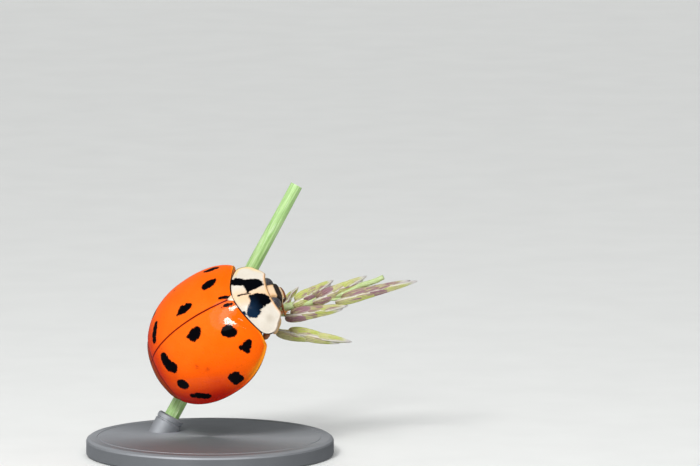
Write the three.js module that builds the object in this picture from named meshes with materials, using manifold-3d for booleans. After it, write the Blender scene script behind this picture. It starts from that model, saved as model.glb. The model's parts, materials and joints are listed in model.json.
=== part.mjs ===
// A life-size harlequin ladybird climbing a cut length of grass stem on a small display stand.
//
// Two frames are used, both in millimetres:
//   the beetle's own frame: x towards the head, y to its left, z up through its back,
//     with the origin at the middle of the wing cases' rim;
//   the part's frame: X to the right, Y away from the viewer, Z up, origin under the stand's disc.
import * as THREE from 'three';
import { mergeVertices } from 'three/addons/utils/BufferGeometryUtils.js';
import Module from 'manifold-3d';

// ---------------------------------------------------------------- driving dimensions

const GAP = 0.04;               // clear cut between two pieces that meet

// Wing cases: one dome in two halves.
const HALF_WIDTH = 3.0;
const DOME_REAR = 3.28;         // from the origin to the tip of the wing cases
const DOME_FRONT = 3.1;         // where the dome would end if the pronotum did not cut it off
const DOME_HEIGHT = 2.33;
const OUTLINE_POWER = 2.15;     // 2 is an ellipse, more is squarer
const DOME_POWER = 2.15;        // the same for the dome's height
const SHOULDER_LIFT = 0.5;      // the rim rises towards the shoulders
const SHOULDER_X = 2.25;
const RIM_FLARE = 0.02;         // share of the width that turns out as a narrow rim
const RIM_DROP = 0.2;           // depth of the rounded edge under the rim
const CASE_WALL = 0.5;
const SCUTELLUM_TIP = 1.76;
const SCUTELLUM_HALF_WIDTH = 0.22;

// Trunk under the wing cases.
const BELLY_DEPTH = 0.75;
const WAIST_X = 0.45;           // thorax in front, abdomen behind
const PROTHORAX_CENTRE = [2.6, 0, 0.35];
const PROTHORAX_SIZE = [1.2, 1.85, 1.05];
const PROTHORAX_INSET = 0.28;   // from the pronotum's edge

// Pronotum: the shield over the front of the thorax.
const PRONOTUM_BACK_X = 2.13;
const PRONOTUM_TOP = 1.89;      // height at the middle of its back edge
const PRONOTUM_SLOPE = 0.8;
const PRONOTUM_CURVE = 0.12;
const PRONOTUM_CAMBER = 0.25;
const PRONOTUM_THICK = 0.45;

// Head.
const HEAD_CENTRE = [3.0, 0, -0.05];
const HEAD_SIZE = [0.58, 0.74, 0.6];
const EYE_CENTRE = [3.22, 0.6, 0.12];
const EYE_RADIUS = 0.25;

// Legs and feelers.
const FEMUR_R = [0.28, 0.26];
const TIBIA_R = [0.25, 0.25];
const FOOT_R = [0.25, 0.25];
const FEELER_R = 0.25;
const PALP_R = [0.19, 0.22];
const MOUTH_R = 0.22;

// How the beetle sits, in degrees. Stem and beetle lean away from the viewer together.
const LEAN_BACK = 8;
const STEM_RISE = 61.6;             // above the horizon
const HEADING = 33.6;               // the head points up to the right
const HEAD_FORWARD = 17.9;          // and towards the viewer
const ROLL = 32.2;                  // the back faces up, with the right side turned down

// Perch: a grass stem with one side branch of spikelets, from the point of the stem nearest the beetle.
const STEM_DROP = 1.75;             // stem's axis under the wing cases' rim
const STEM_OFFSET = 1.37;           // and to the left of the beetle's middle
const STEM_RADIUS = [0.36, 0.27];   // at the lower and upper cut
const STEM_UP = 7.6;
const BRANCH_START = 0.56;          // where the side branch leaves the stem
const BRANCH_RADIUS = 0.22;
const TWIG_RADIUS = 0.15;

// Stand.
const DISC_RADIUS = 5.5;
const DISC_HEIGHT = 0.8;
const DISC_BEVEL = 0.15;
const ROD_RADIUS = 0.62;
const ROD_LENGTH = 0.75;
const BEETLE_PLACE = [0.3, -0.1, 5.33];

const FAR = 9;                      // reach of a cutting block, past every piece

const wasm = await Module();
wasm.setup();
const rad = THREE.MathUtils.degToRad;
const V = (x, y, z) => new THREE.Vector3(x, y, z);

// ---------------------------------------------------------------- solids

function solidOf(geometry) {
  const g = geometry.index ? geometry.toNonIndexed() : geometry.clone();
  g.deleteAttribute('normal');
  g.deleteAttribute('uv');
  const merged = mergeVertices(g, 1e-4);
  return new wasm.Manifold(new wasm.Mesh({
    numProp: 3,
    vertProperties: new Float32Array(merged.attributes.position.array),
    triVerts: new Uint32Array(merged.index.array),
  }));
}

function geometryOf(solid) {
  const mesh = solid.getMesh();
  const g = new THREE.BufferGeometry();
  g.setAttribute('position', new THREE.BufferAttribute(new Float32Array(mesh.vertProperties), 3));
  g.setIndex(new THREE.BufferAttribute(new Uint32Array(mesh.triVerts), 1));
  return g.toNonIndexed();
}

// Moves every vertex of a geometry by a function that changes a vector in place.
function reshape(geometry, change) {
  const place = geometry.attributes.position;
  const p = new THREE.Vector3();
  for (let i = 0; i < place.count; i++) {
    p.fromBufferAttribute(place, i);
    change(p);
    place.setXYZ(i, p.x, p.y, p.z);
  }
  return geometry;
}

function unite(solids) {
  return solids.reduce((all, one) => all.add(one));
}

// The biggest body of a solid that cutting has left with loose slivers.
function largest(solid) {
  return solid.decompose().reduce((best, one) => (one.volume() > best.volume() ? one : best));
}

function box(low, high) {
  const size = high.clone().sub(low);
  const middle = high.clone().add(low).multiplyScalar(0.5);
  const g = new THREE.BoxGeometry(size.x, size.y, size.z);
  return solidOf(g.translate(middle.x, middle.y, middle.z));
}

// A unit ball with its poles up and down.
function ball(segments, rings) {
  return new THREE.SphereGeometry(1, segments, rings).rotateX(Math.PI / 2);
}

function ellipsoid(centre, size, segments = 20, rings = 12) {
  const g = ball(segments, rings).scale(...size).translate(...centre);
  return solidOf(g);
}

// A tapered rod with round ends, from a to b.
function capsule(a, b, ra, rb, sides = 8) {
  const length = a.distanceTo(b);
  const steps = 2;
  const profile = [];
  for (let i = 0; i <= steps; i++) {
    const t = (i / steps) * Math.PI / 2;
    profile.push(new THREE.Vector2(ra * Math.sin(t), -ra * Math.cos(t)));
  }
  for (let i = 0; i <= steps; i++) {
    const t = (i / steps) * Math.PI / 2;
    profile.push(new THREE.Vector2(rb * Math.cos(t), length + rb * Math.sin(t)));
  }
  profile[0].x = 0;
  profile[profile.length - 1].x = 0;
  const g = new THREE.LatheGeometry(profile, sides);
  const turn = new THREE.Quaternion().setFromUnitVectors(V(0, 1, 0), b.clone().sub(a).normalize());
  g.applyQuaternion(turn).translate(a.x, a.y, a.z);
  return solidOf(g);
}

// ---------------------------------------------------------------- the dome of the wing cases

function outlineRadius(angle, inset) {
  const along = Math.cos(angle);
  const reach = (along > 0 ? DOME_FRONT : DOME_REAR) - inset;
  const sum = Math.abs(along / reach) ** OUTLINE_POWER
    + Math.abs(Math.sin(angle) / (HALF_WIDTH - inset)) ** OUTLINE_POWER;
  return sum ** (-1 / OUTLINE_POWER);
}

function liftAt(x, share) {
  return SHOULDER_LIFT * THREE.MathUtils.clamp(x / SHOULDER_X, 0, 1) ** 2 * share ** 3;
}

// The dome, shrunk by inset, over a shallow bowl of the given depth.
function dome({ inset = 0, depth, flare = 0, segments = 36, rings = 18 }) {
  const g = reshape(ball(segments, rings), (p) => {
    const share = Math.min(1, Math.hypot(p.x, p.y));
    const angle = Math.atan2(p.y, p.x);
    const rim = THREE.MathUtils.smoothstep(share, 0.88, 1);
    const reach = outlineRadius(angle, inset) * share * (1 - flare + flare * rim);
    p.x = reach * Math.cos(angle);
    p.y = reach * Math.sin(angle);
    const arch = (1 - share ** DOME_POWER) ** 0.5;
    p.z = p.z > 0 ? (DOME_HEIGHT - inset) * arch : depth * p.z;
    p.z += liftAt(p.x, share);
  });
  return solidOf(g);
}

// A slab taller than the beetle whose plan is the outline given, for trimming.
function slab(outline) {
  const shape = new THREE.Shape(outline);
  const g = new THREE.ExtrudeGeometry(shape, { depth: 2 * FAR, bevelEnabled: false });
  return solidOf(g.translate(0, 0, -FAR));
}

function mirrored(half) {
  return [...half, ...half.slice().reverse().filter((p) => Math.abs(p.y) > 1e-9)
    .map((p) => new THREE.Vector2(p.x, -p.y))];
}

// ---------------------------------------------------------------- pronotum

function pronotumHeight(x, y) {
  const t = x - PRONOTUM_BACK_X;
  return PRONOTUM_TOP - PRONOTUM_SLOPE * t - PRONOTUM_CURVE * t * t - PRONOTUM_CAMBER * y * y;
}

// Left half of the pronotum's plan: back edge, rounded side lobe, front corner, front edge.
function pronotumHalf(inset) {
  const path = new THREE.Path();
  path.moveTo(PRONOTUM_BACK_X + inset, 0);
  path.quadraticCurveTo(2.2 + inset, 0.9, 2.38 + inset, 1.62 - inset);
  path.bezierCurveTo(2.44 + inset, 1.95 - inset, 2.86, 1.92 - inset, 3.1 - inset, 1.5 - inset);
  path.quadraticCurveTo(3.4 - inset, 1.16 - inset, 3.37 - inset, 1.02 - inset);
  path.quadraticCurveTo(3.3 - inset, 0.5, 3.3 - inset, 0);
  return path.getPoints(6);
}

// The slice between two heights measured from the pronotum's surface.
function pronotumLayer(low, high) {
  const g = new THREE.BoxGeometry(1.8, 4.4, 1, 5, 10, 1).translate(2.8, 0, 0);
  return solidOf(reshape(g, (p) => {
    const surface = pronotumHeight(p.x, p.y);
    p.z = p.z > 0 ? surface + high : low(surface);
  }));
}

function pronotum() {
  const plan = slab(mirrored(pronotumHalf(0)));
  return plan.intersect(pronotumLayer((surface) => surface - PRONOTUM_THICK, 0));
}

function prothoraxPlan(grow = 0) {
  return slab(mirrored(pronotumHalf(PROTHORAX_INSET - grow)));
}

function prothorax() {
  const layer = pronotumLayer(() => -BELLY_DEPTH, -PRONOTUM_THICK - GAP);
  return prothoraxPlan().intersect(layer).intersect(ellipsoid(PROTHORAX_CENTRE, PROTHORAX_SIZE));
}

// ---------------------------------------------------------------- wing cases, scutellum, trunk

// Plan of the left wing case: along the seam, round the shoulder, and wide of the rim.
function casePlan(side) {
  const path = new THREE.Path();
  path.moveTo(PRONOTUM_BACK_X - GAP, GAP / 2);
  path.quadraticCurveTo(2.2 - GAP, 0.9, 2.36 - GAP, 1.66);
  path.bezierCurveTo(2.4, 1.95, 2.34, 2.2, 2.1, 2.45);
  path.lineTo(2.1, FAR);
  path.lineTo(-FAR, FAR);
  path.lineTo(-FAR, GAP / 2);
  const points = path.getPoints(8).map((p) => new THREE.Vector2(p.x, p.y * side));
  return slab(points);
}

// The dome hollowed to the wall of the wing cases, before it is parted.
function domeShell() {
  const outer = dome({ depth: RIM_DROP, flare: RIM_FLARE });
  const inner = dome({ inset: CASE_WALL, depth: FAR, segments: 24, rings: 12 });
  return outer.subtract(inner);
}

// The scutellum's plan, pointed to the rear, grown by a clearance.
function scutellumPlan(grow = 0) {
  const half = [
    new THREE.Vector2(SCUTELLUM_TIP - 2 * grow, 0),
    new THREE.Vector2(PRONOTUM_BACK_X - 0.1, SCUTELLUM_HALF_WIDTH + grow),
    new THREE.Vector2(PRONOTUM_BACK_X - GAP + grow, SCUTELLUM_HALF_WIDTH + grow),
    new THREE.Vector2(PRONOTUM_BACK_X - GAP + grow, 0),
  ];
  return slab(mirrored(half));
}

function wingCase(side) {
  return domeShell().intersect(casePlan(side)).subtract(scutellumPlan(GAP));
}

function scutellum() {
  return domeShell().intersect(scutellumPlan());
}

function trunk() {
  return dome({ inset: CASE_WALL + GAP, depth: BELLY_DEPTH, segments: 24, rings: 12 });
}

function thorax() {
  const cut = box(V(WAIST_X + GAP / 2, -FAR, -FAR), V(PRONOTUM_BACK_X - GAP, FAR, FAR));
  return trunk().intersect(cut);
}

function abdomen() {
  return trunk().intersect(box(V(-FAR, -FAR, -FAR), V(WAIST_X - GAP / 2, FAR, FAR)));
}

// ---------------------------------------------------------------- head

// A point given for the left side, on the left (side 1) or the right (side -1).
const onSide = (p, side) => V(p[0], p[1] * side, p[2]);

const FEELER_PATH = [[3.2, 0.6, -0.36], [2.95, 0.9, -0.38], [2.62, 1.2, -0.22]];
const PALP_PATH = [[3.14, 0.3, -0.82], [3.02, 0.44, -1.06]];
const MOUTH_PLACE = [3.28, 0.16, -0.55];

function eye(side, grow = 0) {
  const centre = onSide(EYE_CENTRE, side);
  const r = EYE_RADIUS + grow;
  return ellipsoid(centre.toArray(), [r, r * 0.9, r * 1.15], 14, 8);
}

function feeler(side, grow = 0) {
  const [base, bend, tip] = FEELER_PATH.map((p) => onSide(p, side));
  const r = FEELER_R + grow;
  return capsule(base, bend, r, r).add(capsule(bend, tip, r, r));
}

function palp(side, grow = 0) {
  const [base, tip] = PALP_PATH.map((p) => onSide(p, side));
  return capsule(base, tip, PALP_R[0] + grow, PALP_R[1] + grow);
}

function mouth(grow = 0) {
  return capsule(onSide(MOUTH_PLACE, 1), onSide(MOUTH_PLACE, -1), MOUTH_R + grow, MOUTH_R + grow);
}

// What the head carries, with its clearance.
function headFittings() {
  const pairs = [eye, feeler, palp].flatMap((make) => [make(1, GAP), make(-1, GAP)]);
  return unite([...pairs, mouth(GAP)]);
}

// The room that the pronotum takes, with its clearance.
function pronotumRoom() {
  return slab(mirrored(pronotumHalf(-GAP)))
    .intersect(pronotumLayer((surface) => surface - PRONOTUM_THICK - GAP, 2));
}

function head() {
  const cut = ellipsoid(HEAD_CENTRE, HEAD_SIZE, 18, 10)
    .subtract(headFittings())
    .subtract(pronotumRoom())
    .subtract(prothoraxPlan(GAP));
  return largest(cut);
}

// ---------------------------------------------------------------- placing the beetle

const UP = V(0, 0, 1);
const VIEWER = V(0, -1, 0);
const RIGHT = V(1, 0, 0);

// Turns the beetle's own frame into the frame of the upright stem.
function beetlePose() {
  const turn = (axis, degrees) => new THREE.Matrix4().makeRotationAxis(axis, rad(degrees));
  return turn(VIEWER, HEADING)
    .multiply(turn(UP, -HEAD_FORWARD))
    .multiply(turn(RIGHT, 90 - ROLL));
}

const POSE = beetlePose();
const TO_BEETLE = POSE.clone().invert();

// A rail is a straight twig. Its point function takes the distance along it, the distance out from
// its axis, and the turn round it from the belly's side (0) towards the beetle's left (90).
function rail(origin, axis) {
  const left = V(-axis.y, axis.x, 0).normalize();
  const up = axis.clone().cross(left);
  return (along, out = 0, turn = 0) => origin.clone()
    .addScaledVector(axis, along)
    .addScaledVector(up, out * Math.cos(rad(turn)))
    .addScaledVector(left, out * Math.sin(rad(turn)));
}

// The stem and its side branch in the beetle's frame.
const STEM_AIM = V(Math.cos(rad(STEM_RISE)), 0, Math.sin(rad(STEM_RISE))).transformDirection(TO_BEETLE);
const STEM_MIDDLE = V(-STEM_AIM.y, STEM_AIM.x, 0).setLength(STEM_OFFSET).setZ(-STEM_DROP);
const atStem = rail(STEM_MIDDLE, STEM_AIM);
const BRANCH_AIM = V(0.94, -0.26, 0.218).transformDirection(TO_BEETLE);
const atBranch = rail(atStem(BRANCH_START), BRANCH_AIM);

// ---------------------------------------------------------------- legs

// Hip, knee, ankle and toe. The left feet and the right hind foot hold the stem, the other two the
// side branch.
const GRIP = 0.69;              // a foot's axis from the stem's
const TWIG_GRIP = 0.6;
const KNEE_CLEARANCE = 0.88;    // of a knee bent over the stem
const overStem = (along) => atStem(along, KNEE_CLEARANCE, 27);
const onStem = (along, turn) => atStem(along, GRIP, turn);
const onTwig = (along, turn) => atBranch(along, TWIG_GRIP, turn);
const LEGS = {
  front_left: [V(2.62, 0.42, -0.72), V(2.7, 1.45, -1.0), onStem(3, -72), onStem(2.35, -88)],
  middle_left: [V(1.3, 0.5, -0.85), overStem(1.65), onStem(1.2, 96), onStem(0.5, 108)],
  hind_left: [V(0.35, 0.5, -0.85), overStem(-0.7), onStem(-1.4, 92), onStem(-2.15, 100)],
  front_right: [V(2.62, -0.42, -0.72), V(2.02, -1.22, -0.5), onTwig(2.5, -30), onTwig(3.15, -50)],
  middle_right: [V(1.3, -0.5, -0.85), V(0.9, -1.2, -1.0), onTwig(1.0, -60), onTwig(1.7, -65)],
  hind_right: [V(0.35, -0.5, -0.85), V(-1.15, -1.1, -1.02), onStem(-1.65, -85), onStem(-2.4, -95)],
};

const LEG_LINKS = [['femur', FEMUR_R], ['tibia', TIBIA_R], ['foot', FOOT_R]];

// One link of a leg, numbered from the hip, grown by a clearance.
function legLink(joints, number, grow = 0) {
  const [ra, rb] = LEG_LINKS[number][1];
  return capsule(joints[number], joints[number + 1], ra + grow, rb + grow);
}

function allFemurs() {
  return unite(Object.values(LEGS).map((joints) => legLink(joints, 0, GAP)));
}

// ---------------------------------------------------------------- perch

// Places in the frame of the upright stem, measured from the beetle's origin.
const TWIG_BENDS = [[3.4, 1.36, 1.3], [5.6, 0.8, 1.87], [7.4, 0.35, 2.6]];
const SPIKELETS = [
  { foot: [1.1, 1.95, 0.72], base: [2.5, 1.6, 0.26], tip: [5.98, 0.95, -0.34], width: 0.66 },
  { foot: [2.2, 1.65, 1.0], base: [2.9, 1.4, 0.84], tip: [5.84, 0.65, 1.28], width: 0.62 },
  { foot: [2.5, 1.6, 1.1], base: [2.85, 1.6, 1.25], tip: [3.61, 1.55, 2.18], width: 0.36 },
  { foot: [3.1, 1.44, 1.24], base: [3.25, 1.35, 1.35], tip: [5.2, 0.95, 2.41], width: 0.62 },
  { foot: [3.9, 1.24, 1.42], base: [4.1, 1.15, 1.45], tip: [6.69, 0.55, 2.6], width: 0.58 },
  { foot: [4.9, 0.98, 1.7], base: [5.1, 0.85, 1.5], tip: [8.9, 0.0, 2.47], width: 0.52 },
];
const SCALES = [[0, 0.6, 0.18], [0.12, 0.82, -0.16], [0.32, 1, 0.05]];    // start, end, sideways share

const place = (p) => V(...p);

// A pointed grain-like body between two points.
function grain(base, tip, width, sides = 6) {
  const length = base.distanceTo(tip);
  const steps = 4;
  const profile = [];
  for (let i = 0; i <= steps; i++) {
    const t = i / steps;
    profile.push(new THREE.Vector2(width * 0.5 * Math.sin(Math.PI * t ** 0.8) ** 0.8, t * length));
  }
  profile[0].x = 0;
  profile[steps].x = 0;
  const g = new THREE.LatheGeometry(profile, sides);
  const turn = new THREE.Quaternion().setFromUnitVectors(V(0, 1, 0), tip.clone().sub(base).normalize());
  return solidOf(g.applyQuaternion(turn).translate(base.x, base.y, base.z));
}

function spikelet({ foot, base, tip, width }) {
  const [start, end] = [place(base), place(tip)];
  const side = end.clone().sub(start).cross(VIEWER).setLength(width);
  const scales = SCALES.map(([from, to, aside]) => grain(
    start.clone().lerp(end, from).addScaledVector(side, aside),
    start.clone().lerp(end, to),
    width,
  ));
  const stalk = capsule(place(foot), start.clone().lerp(end, 0.1), TWIG_RADIUS, TWIG_RADIUS, 6);
  return unite([stalk, ...scales]);
}

// The perch in the beetle's frame, turned back from the frame of the upright stem.
function twigs() {
  const bends = [atBranch(0).applyMatrix4(POSE), ...TWIG_BENDS.map(place)];
  const rods = bends.slice(1).map((end, i) => capsule(bends[i], end, BRANCH_RADIUS, BRANCH_RADIUS, 8));
  return unite([...rods, ...SPIKELETS.map(spikelet)]);
}

function cutRod(from, to, ra, rb, sides = 16) {
  const g = new THREE.CylinderGeometry(rb, ra, from.distanceTo(to), sides);
  const turn = new THREE.Quaternion().setFromUnitVectors(V(0, 1, 0), to.clone().sub(from).normalize());
  const middle = from.clone().add(to).multiplyScalar(0.5);
  return solidOf(g.applyQuaternion(turn).translate(middle.x, middle.y, middle.z));
}

// ---------------------------------------------------------------- from the beetle's frame to the part's

const LEAN = new THREE.Matrix4().makeRotationX(-rad(LEAN_BACK)).setPosition(...BEETLE_PLACE);
const TO_PART = LEAN.clone().multiply(POSE);

// The stem's axis, in the part's frame, from the disc's top upwards.
function stemPoint(height) {
  const origin = atStem(0).applyMatrix4(TO_PART);
  const aim = STEM_AIM.clone().transformDirection(TO_PART);
  const along = (DISC_HEIGHT - origin.z) / aim.z + height;
  return origin.addScaledVector(aim, along);
}

function stem(grow = 0) {
  const [low, high] = STEM_RADIUS;
  const top = atStem(STEM_UP).applyMatrix4(TO_PART);
  return cutRod(stemPoint(ROD_LENGTH / 3 - grow), top, low + grow, high + grow);
}

function sprig() {
  return twigs().transform(LEAN.elements).subtract(stem(GAP));
}

function standRod() {
  const sleeve = cutRod(stemPoint(-ROD_RADIUS), stemPoint(ROD_LENGTH), ROD_RADIUS, ROD_RADIUS, 20);
  const above = box(V(-FAR, -FAR, DISC_HEIGHT + GAP), V(FAR, FAR, FAR));
  return sleeve.intersect(above).subtract(stem(GAP));
}

function standBase() {
  const profile = [
    [0, 0],
    [DISC_RADIUS, 0],
    [DISC_RADIUS, DISC_HEIGHT - DISC_BEVEL],
    [DISC_RADIUS - DISC_BEVEL, DISC_HEIGHT],
    [0, DISC_HEIGHT],
  ].map(([r, z]) => new THREE.Vector2(r, z));
  return solidOf(new THREE.LatheGeometry(profile, 40).rotateX(Math.PI / 2));
}

// ---------------------------------------------------------------- assembly

const FINISH = {
  wing_case: { color: 0xe8590c, roughness: 0.18, metalness: 0 },
  shield: { color: 0xe6dcc4, roughness: 0.25, metalness: 0 },
  belly: { color: 0x3a1c10, roughness: 0.4, metalness: 0 },
  abdomen: { color: 0x8a3d14, roughness: 0.4, metalness: 0 },
  head: { color: 0xd9bd8c, roughness: 0.3, metalness: 0 },
  eye: { color: 0x26262b, roughness: 0.2, metalness: 0 },
  leg: { color: 0x8f4a1a, roughness: 0.4, metalness: 0 },
  stem: { color: 0x93b653, roughness: 0.5, metalness: 0 },
  spikelet: { color: 0x9aa25e, roughness: 0.6, metalness: 0 },
  steel: { color: 0xb8babd, roughness: 0.3, metalness: 1 },
};

function piece(name, solid, finish) {
  const mesh = new THREE.Mesh(geometryOf(solid), new THREE.MeshStandardMaterial(FINISH[finish]));
  mesh.name = name;
  return mesh;
}

function beetlePieces() {
  const femurs = allFemurs();
  const pieces = [
    piece('elytron_left', wingCase(1), 'wing_case'),
    piece('elytron_right', wingCase(-1), 'wing_case'),
    piece('scutellum', scutellum(), 'shield'),
    piece('pronotum', pronotum(), 'shield'),
    piece('prothorax', prothorax().subtract(femurs).subtract(headFittings()), 'belly'),
    piece('thorax', thorax().subtract(femurs), 'belly'),
    piece('abdomen', abdomen().subtract(femurs), 'abdomen'),
    piece('head', head(), 'head'),
    piece('mouthparts', mouth(), 'leg'),
  ];
  for (const [name, side] of [['left', 1], ['right', -1]]) {
    pieces.push(piece(`eye_${name}`, eye(side).subtract(pronotumRoom()), 'eye'));
    pieces.push(piece(`antenna_${name}`, feeler(side), 'leg'));
    pieces.push(piece(`palp_${name}`, palp(side).subtract(mouth(GAP)), 'leg'));
  }
  for (const [leg, joints] of Object.entries(LEGS)) {
    LEG_LINKS.forEach(([link], number) => {
      const whole = legLink(joints, number);
      const solid = number ? whole.subtract(legLink(joints, number - 1, GAP)) : whole;
      pieces.push(piece(`leg_${leg}_${link}`, solid, 'leg'));
    });
  }
  return pieces;
}

const beetle = new THREE.Group();
beetle.add(...beetlePieces());
beetle.applyMatrix4(TO_PART);

const model = new THREE.Group();
model.add(
  beetle,
  piece('perch_stem', stem(), 'stem'),
  piece('perch_sprig', sprig(), 'spikelet'),
  piece('stand_rod', standRod(), 'steel'),
  piece('stand_base', standBase(), 'steel'),
);
export default model;
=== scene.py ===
# %% [markdown]
# # A harlequin ladybird on a grass stem
# This lesson dresses a life-size museum model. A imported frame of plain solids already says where
# every part sits. Each cell below models one part as the real insect or grass shows it, gives it
# a finish made of shader nodes, and puts it in the place of its plain solid.

# %% Load the frame
import json
import math
import random

import bmesh
import bpy
from mathutils import Matrix, Vector, noise

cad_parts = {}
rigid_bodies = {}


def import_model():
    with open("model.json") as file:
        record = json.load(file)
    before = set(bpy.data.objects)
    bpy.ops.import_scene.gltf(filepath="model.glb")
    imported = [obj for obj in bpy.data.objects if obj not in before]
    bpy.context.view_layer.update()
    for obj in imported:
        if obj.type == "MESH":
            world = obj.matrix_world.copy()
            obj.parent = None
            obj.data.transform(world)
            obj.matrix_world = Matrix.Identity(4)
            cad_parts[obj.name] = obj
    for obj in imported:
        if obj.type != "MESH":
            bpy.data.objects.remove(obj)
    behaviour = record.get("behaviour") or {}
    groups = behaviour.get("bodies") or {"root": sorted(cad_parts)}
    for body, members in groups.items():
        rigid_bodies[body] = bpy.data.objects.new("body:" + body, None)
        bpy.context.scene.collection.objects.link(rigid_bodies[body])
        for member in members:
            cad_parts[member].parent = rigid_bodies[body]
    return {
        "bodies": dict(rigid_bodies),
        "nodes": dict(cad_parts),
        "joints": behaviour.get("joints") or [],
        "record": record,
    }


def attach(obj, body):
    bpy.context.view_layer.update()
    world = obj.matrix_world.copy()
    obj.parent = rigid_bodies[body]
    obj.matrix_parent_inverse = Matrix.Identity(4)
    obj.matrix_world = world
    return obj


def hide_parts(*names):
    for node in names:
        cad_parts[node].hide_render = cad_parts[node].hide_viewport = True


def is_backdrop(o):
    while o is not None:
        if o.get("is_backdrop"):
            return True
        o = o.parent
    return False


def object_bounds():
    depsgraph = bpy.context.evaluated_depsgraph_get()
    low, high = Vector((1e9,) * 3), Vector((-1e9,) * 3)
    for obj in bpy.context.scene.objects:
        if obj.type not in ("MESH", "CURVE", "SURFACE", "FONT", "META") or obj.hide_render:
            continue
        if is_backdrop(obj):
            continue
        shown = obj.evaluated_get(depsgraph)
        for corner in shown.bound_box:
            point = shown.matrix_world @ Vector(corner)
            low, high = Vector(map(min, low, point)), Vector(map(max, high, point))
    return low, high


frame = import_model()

CAD_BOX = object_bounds()
print("solids in the frame:", len(frame["nodes"]))

# %% [markdown]
# The beetle is modelled in its own frame, in millimetres: x to the head, y to its left, z up
# through its back. Small models lose detail if they are built in metres, since many operators
# have limits of a tenth of a millimetre or so. So the work is done in millimetres, and one matrix
# then puts a finished mesh into the part's frame in metres.

# %% From the beetle's frame to the part's
MM = 0.001
X, Y, Z = Vector((1, 0, 0)), Vector((0, 1, 0)), Vector((0, 0, 1))
HEADING, HEAD_FORWARD, ROLL, LEAN_BACK = 33.6, 17.9, 32.2, 8
BEETLE_PLACE = Vector((0.3, -0.1, 5.33))


def turn(axis, degrees):
    return Matrix.Rotation(math.radians(degrees), 4, axis)


POSE = turn(-Y, HEADING) @ turn(Z, -HEAD_FORWARD) @ turn(X, 90 - ROLL)
LEAN = Matrix.Translation(BEETLE_PLACE) @ turn(X, -LEAN_BACK)
TO_PART = LEAN @ POSE
PART_TO_METRES = Matrix.Scale(MM, 4)
BEETLE_TO_METRES = PART_TO_METRES @ TO_PART
LEANING_TO_METRES = PART_TO_METRES @ LEAN
TO_BEETLE = POSE.inverted()
print("head direction:", [round(c, 3) for c in TO_PART.to_3x3() @ X])

# %% [markdown]
# The camera stands where a macro photographer would kneel: level with the stem, tipped down by
# as much as the stem leans back. A long lens from a fair distance keeps the perspective flat.
# The frame's width on the subject sets the lens, so the subject is the size it should be.

# %% The camera
VIEW_TARGET = Vector((6.217, 0.534, 9.839))
VIEW_WIDTH = 31.04
VIEW_DISTANCE = 480
SENSOR = 36
NEAREST, FARTHEST = 0.001, 20           # metres

lens = bpy.data.cameras.new("macro_lens")
lens.sensor_width = SENSOR
lens.lens = SENSOR * VIEW_DISTANCE / VIEW_WIDTH
lens.clip_start, lens.clip_end = NEAREST, FARTHEST
camera = bpy.data.objects.new("camera", lens)
bpy.context.scene.collection.objects.link(camera)
sight = turn(X, -LEAN_BACK).to_3x3() @ Y
camera.location = (VIEW_TARGET - sight * VIEW_DISTANCE) * MM
camera.rotation_euler = sight.to_track_quat("-Z", "Y").to_euler()
bpy.context.scene.camera = camera
bpy.context.scene.view_settings.view_transform = "Standard"
print("lens", round(lens.lens, 1), "mm, camera height", round(camera.location.z, 4), "m")

# %% [markdown]
# A shiny shell is seen through its reflections, so the lights are placed by where they glint.
# A small bright box gives the sparkle on the right wing case, and two wider, dimmer ones round it
# give its soft bloom. A fourth glints on the shield behind the head. Two fills open the shadows
# and a wash behind lights the floor; these three are kept out of glossy surfaces.

# %% Lights
LIGHTS = [
    # name, direction from the beetle in the stem's frame, distance, size, watts, glints
    ("key_box", (-0.27, -0.83, 0.5), 170, 40, 0.17, True),
    ("glow_box", (-0.27, -0.76, 0.59), 190, 84, 0.05, True),
    ("bloom_box", (-0.27, -0.72, 0.63), 190, 150, 0.085, True),
    ("shield_box", (0.34, -0.66, 0.67), 170, 24, 0.02, True),
    ("top_fill", (0.25, 0.25, 0.93), 260, 260, 0.14, False),
    ("right_fill", (0.9, -0.35, 0.3), 260, 160, 0.06, False),
    ("floor_wash", (-0.1, 0.78, 0.62), 460, 420, 0.9, False),
]


def soft_box(name, direction, distance, size, watts, glints):
    """A round area light that faces the beetle. Glossy surfaces mirror it only if it glints."""
    data = bpy.data.lights.new(name, "AREA")
    data.shape = "DISK"
    data.size = size * MM
    data.energy = watts
    box = bpy.data.objects.new(name, data)
    bpy.context.scene.collection.objects.link(box)
    towards = (turn(X, -LEAN_BACK).to_3x3() @ Vector(direction)).normalized()
    box.location = (BEETLE_PLACE + towards * distance) * MM
    box.rotation_euler = (-towards).to_track_quat("-Z", "Y").to_euler()
    box.visible_glossy = glints


for light in LIGHTS:
    soft_box(*light)

STUDIO_TINT, STUDIO_STRENGTH = (0.86, 0.88, 0.9, 1), 0.26
world = bpy.data.worlds.new("studio")
world.use_nodes = True
backdrop = world.node_tree.nodes["Background"]
backdrop.inputs["Color"].default_value = STUDIO_TINT
backdrop.inputs["Strength"].default_value = STUDIO_STRENGTH
bpy.context.scene.world = world
print("lights:", len(LIGHTS), "of them mirrored:", sum(light[-1] for light in LIGHTS))

# %% [markdown]
# Finishes are sums of patterns, and sums are easier to read as Python than as a web of nodes.
# A Value wraps one output socket, and its operators add Math nodes. A Finish holds one material
# and makes any other node from its type, its settings and what goes into its sockets. Its paint
# works as on a real model: a ground colour, then thin washes, each kept to a share of the surface.

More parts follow.
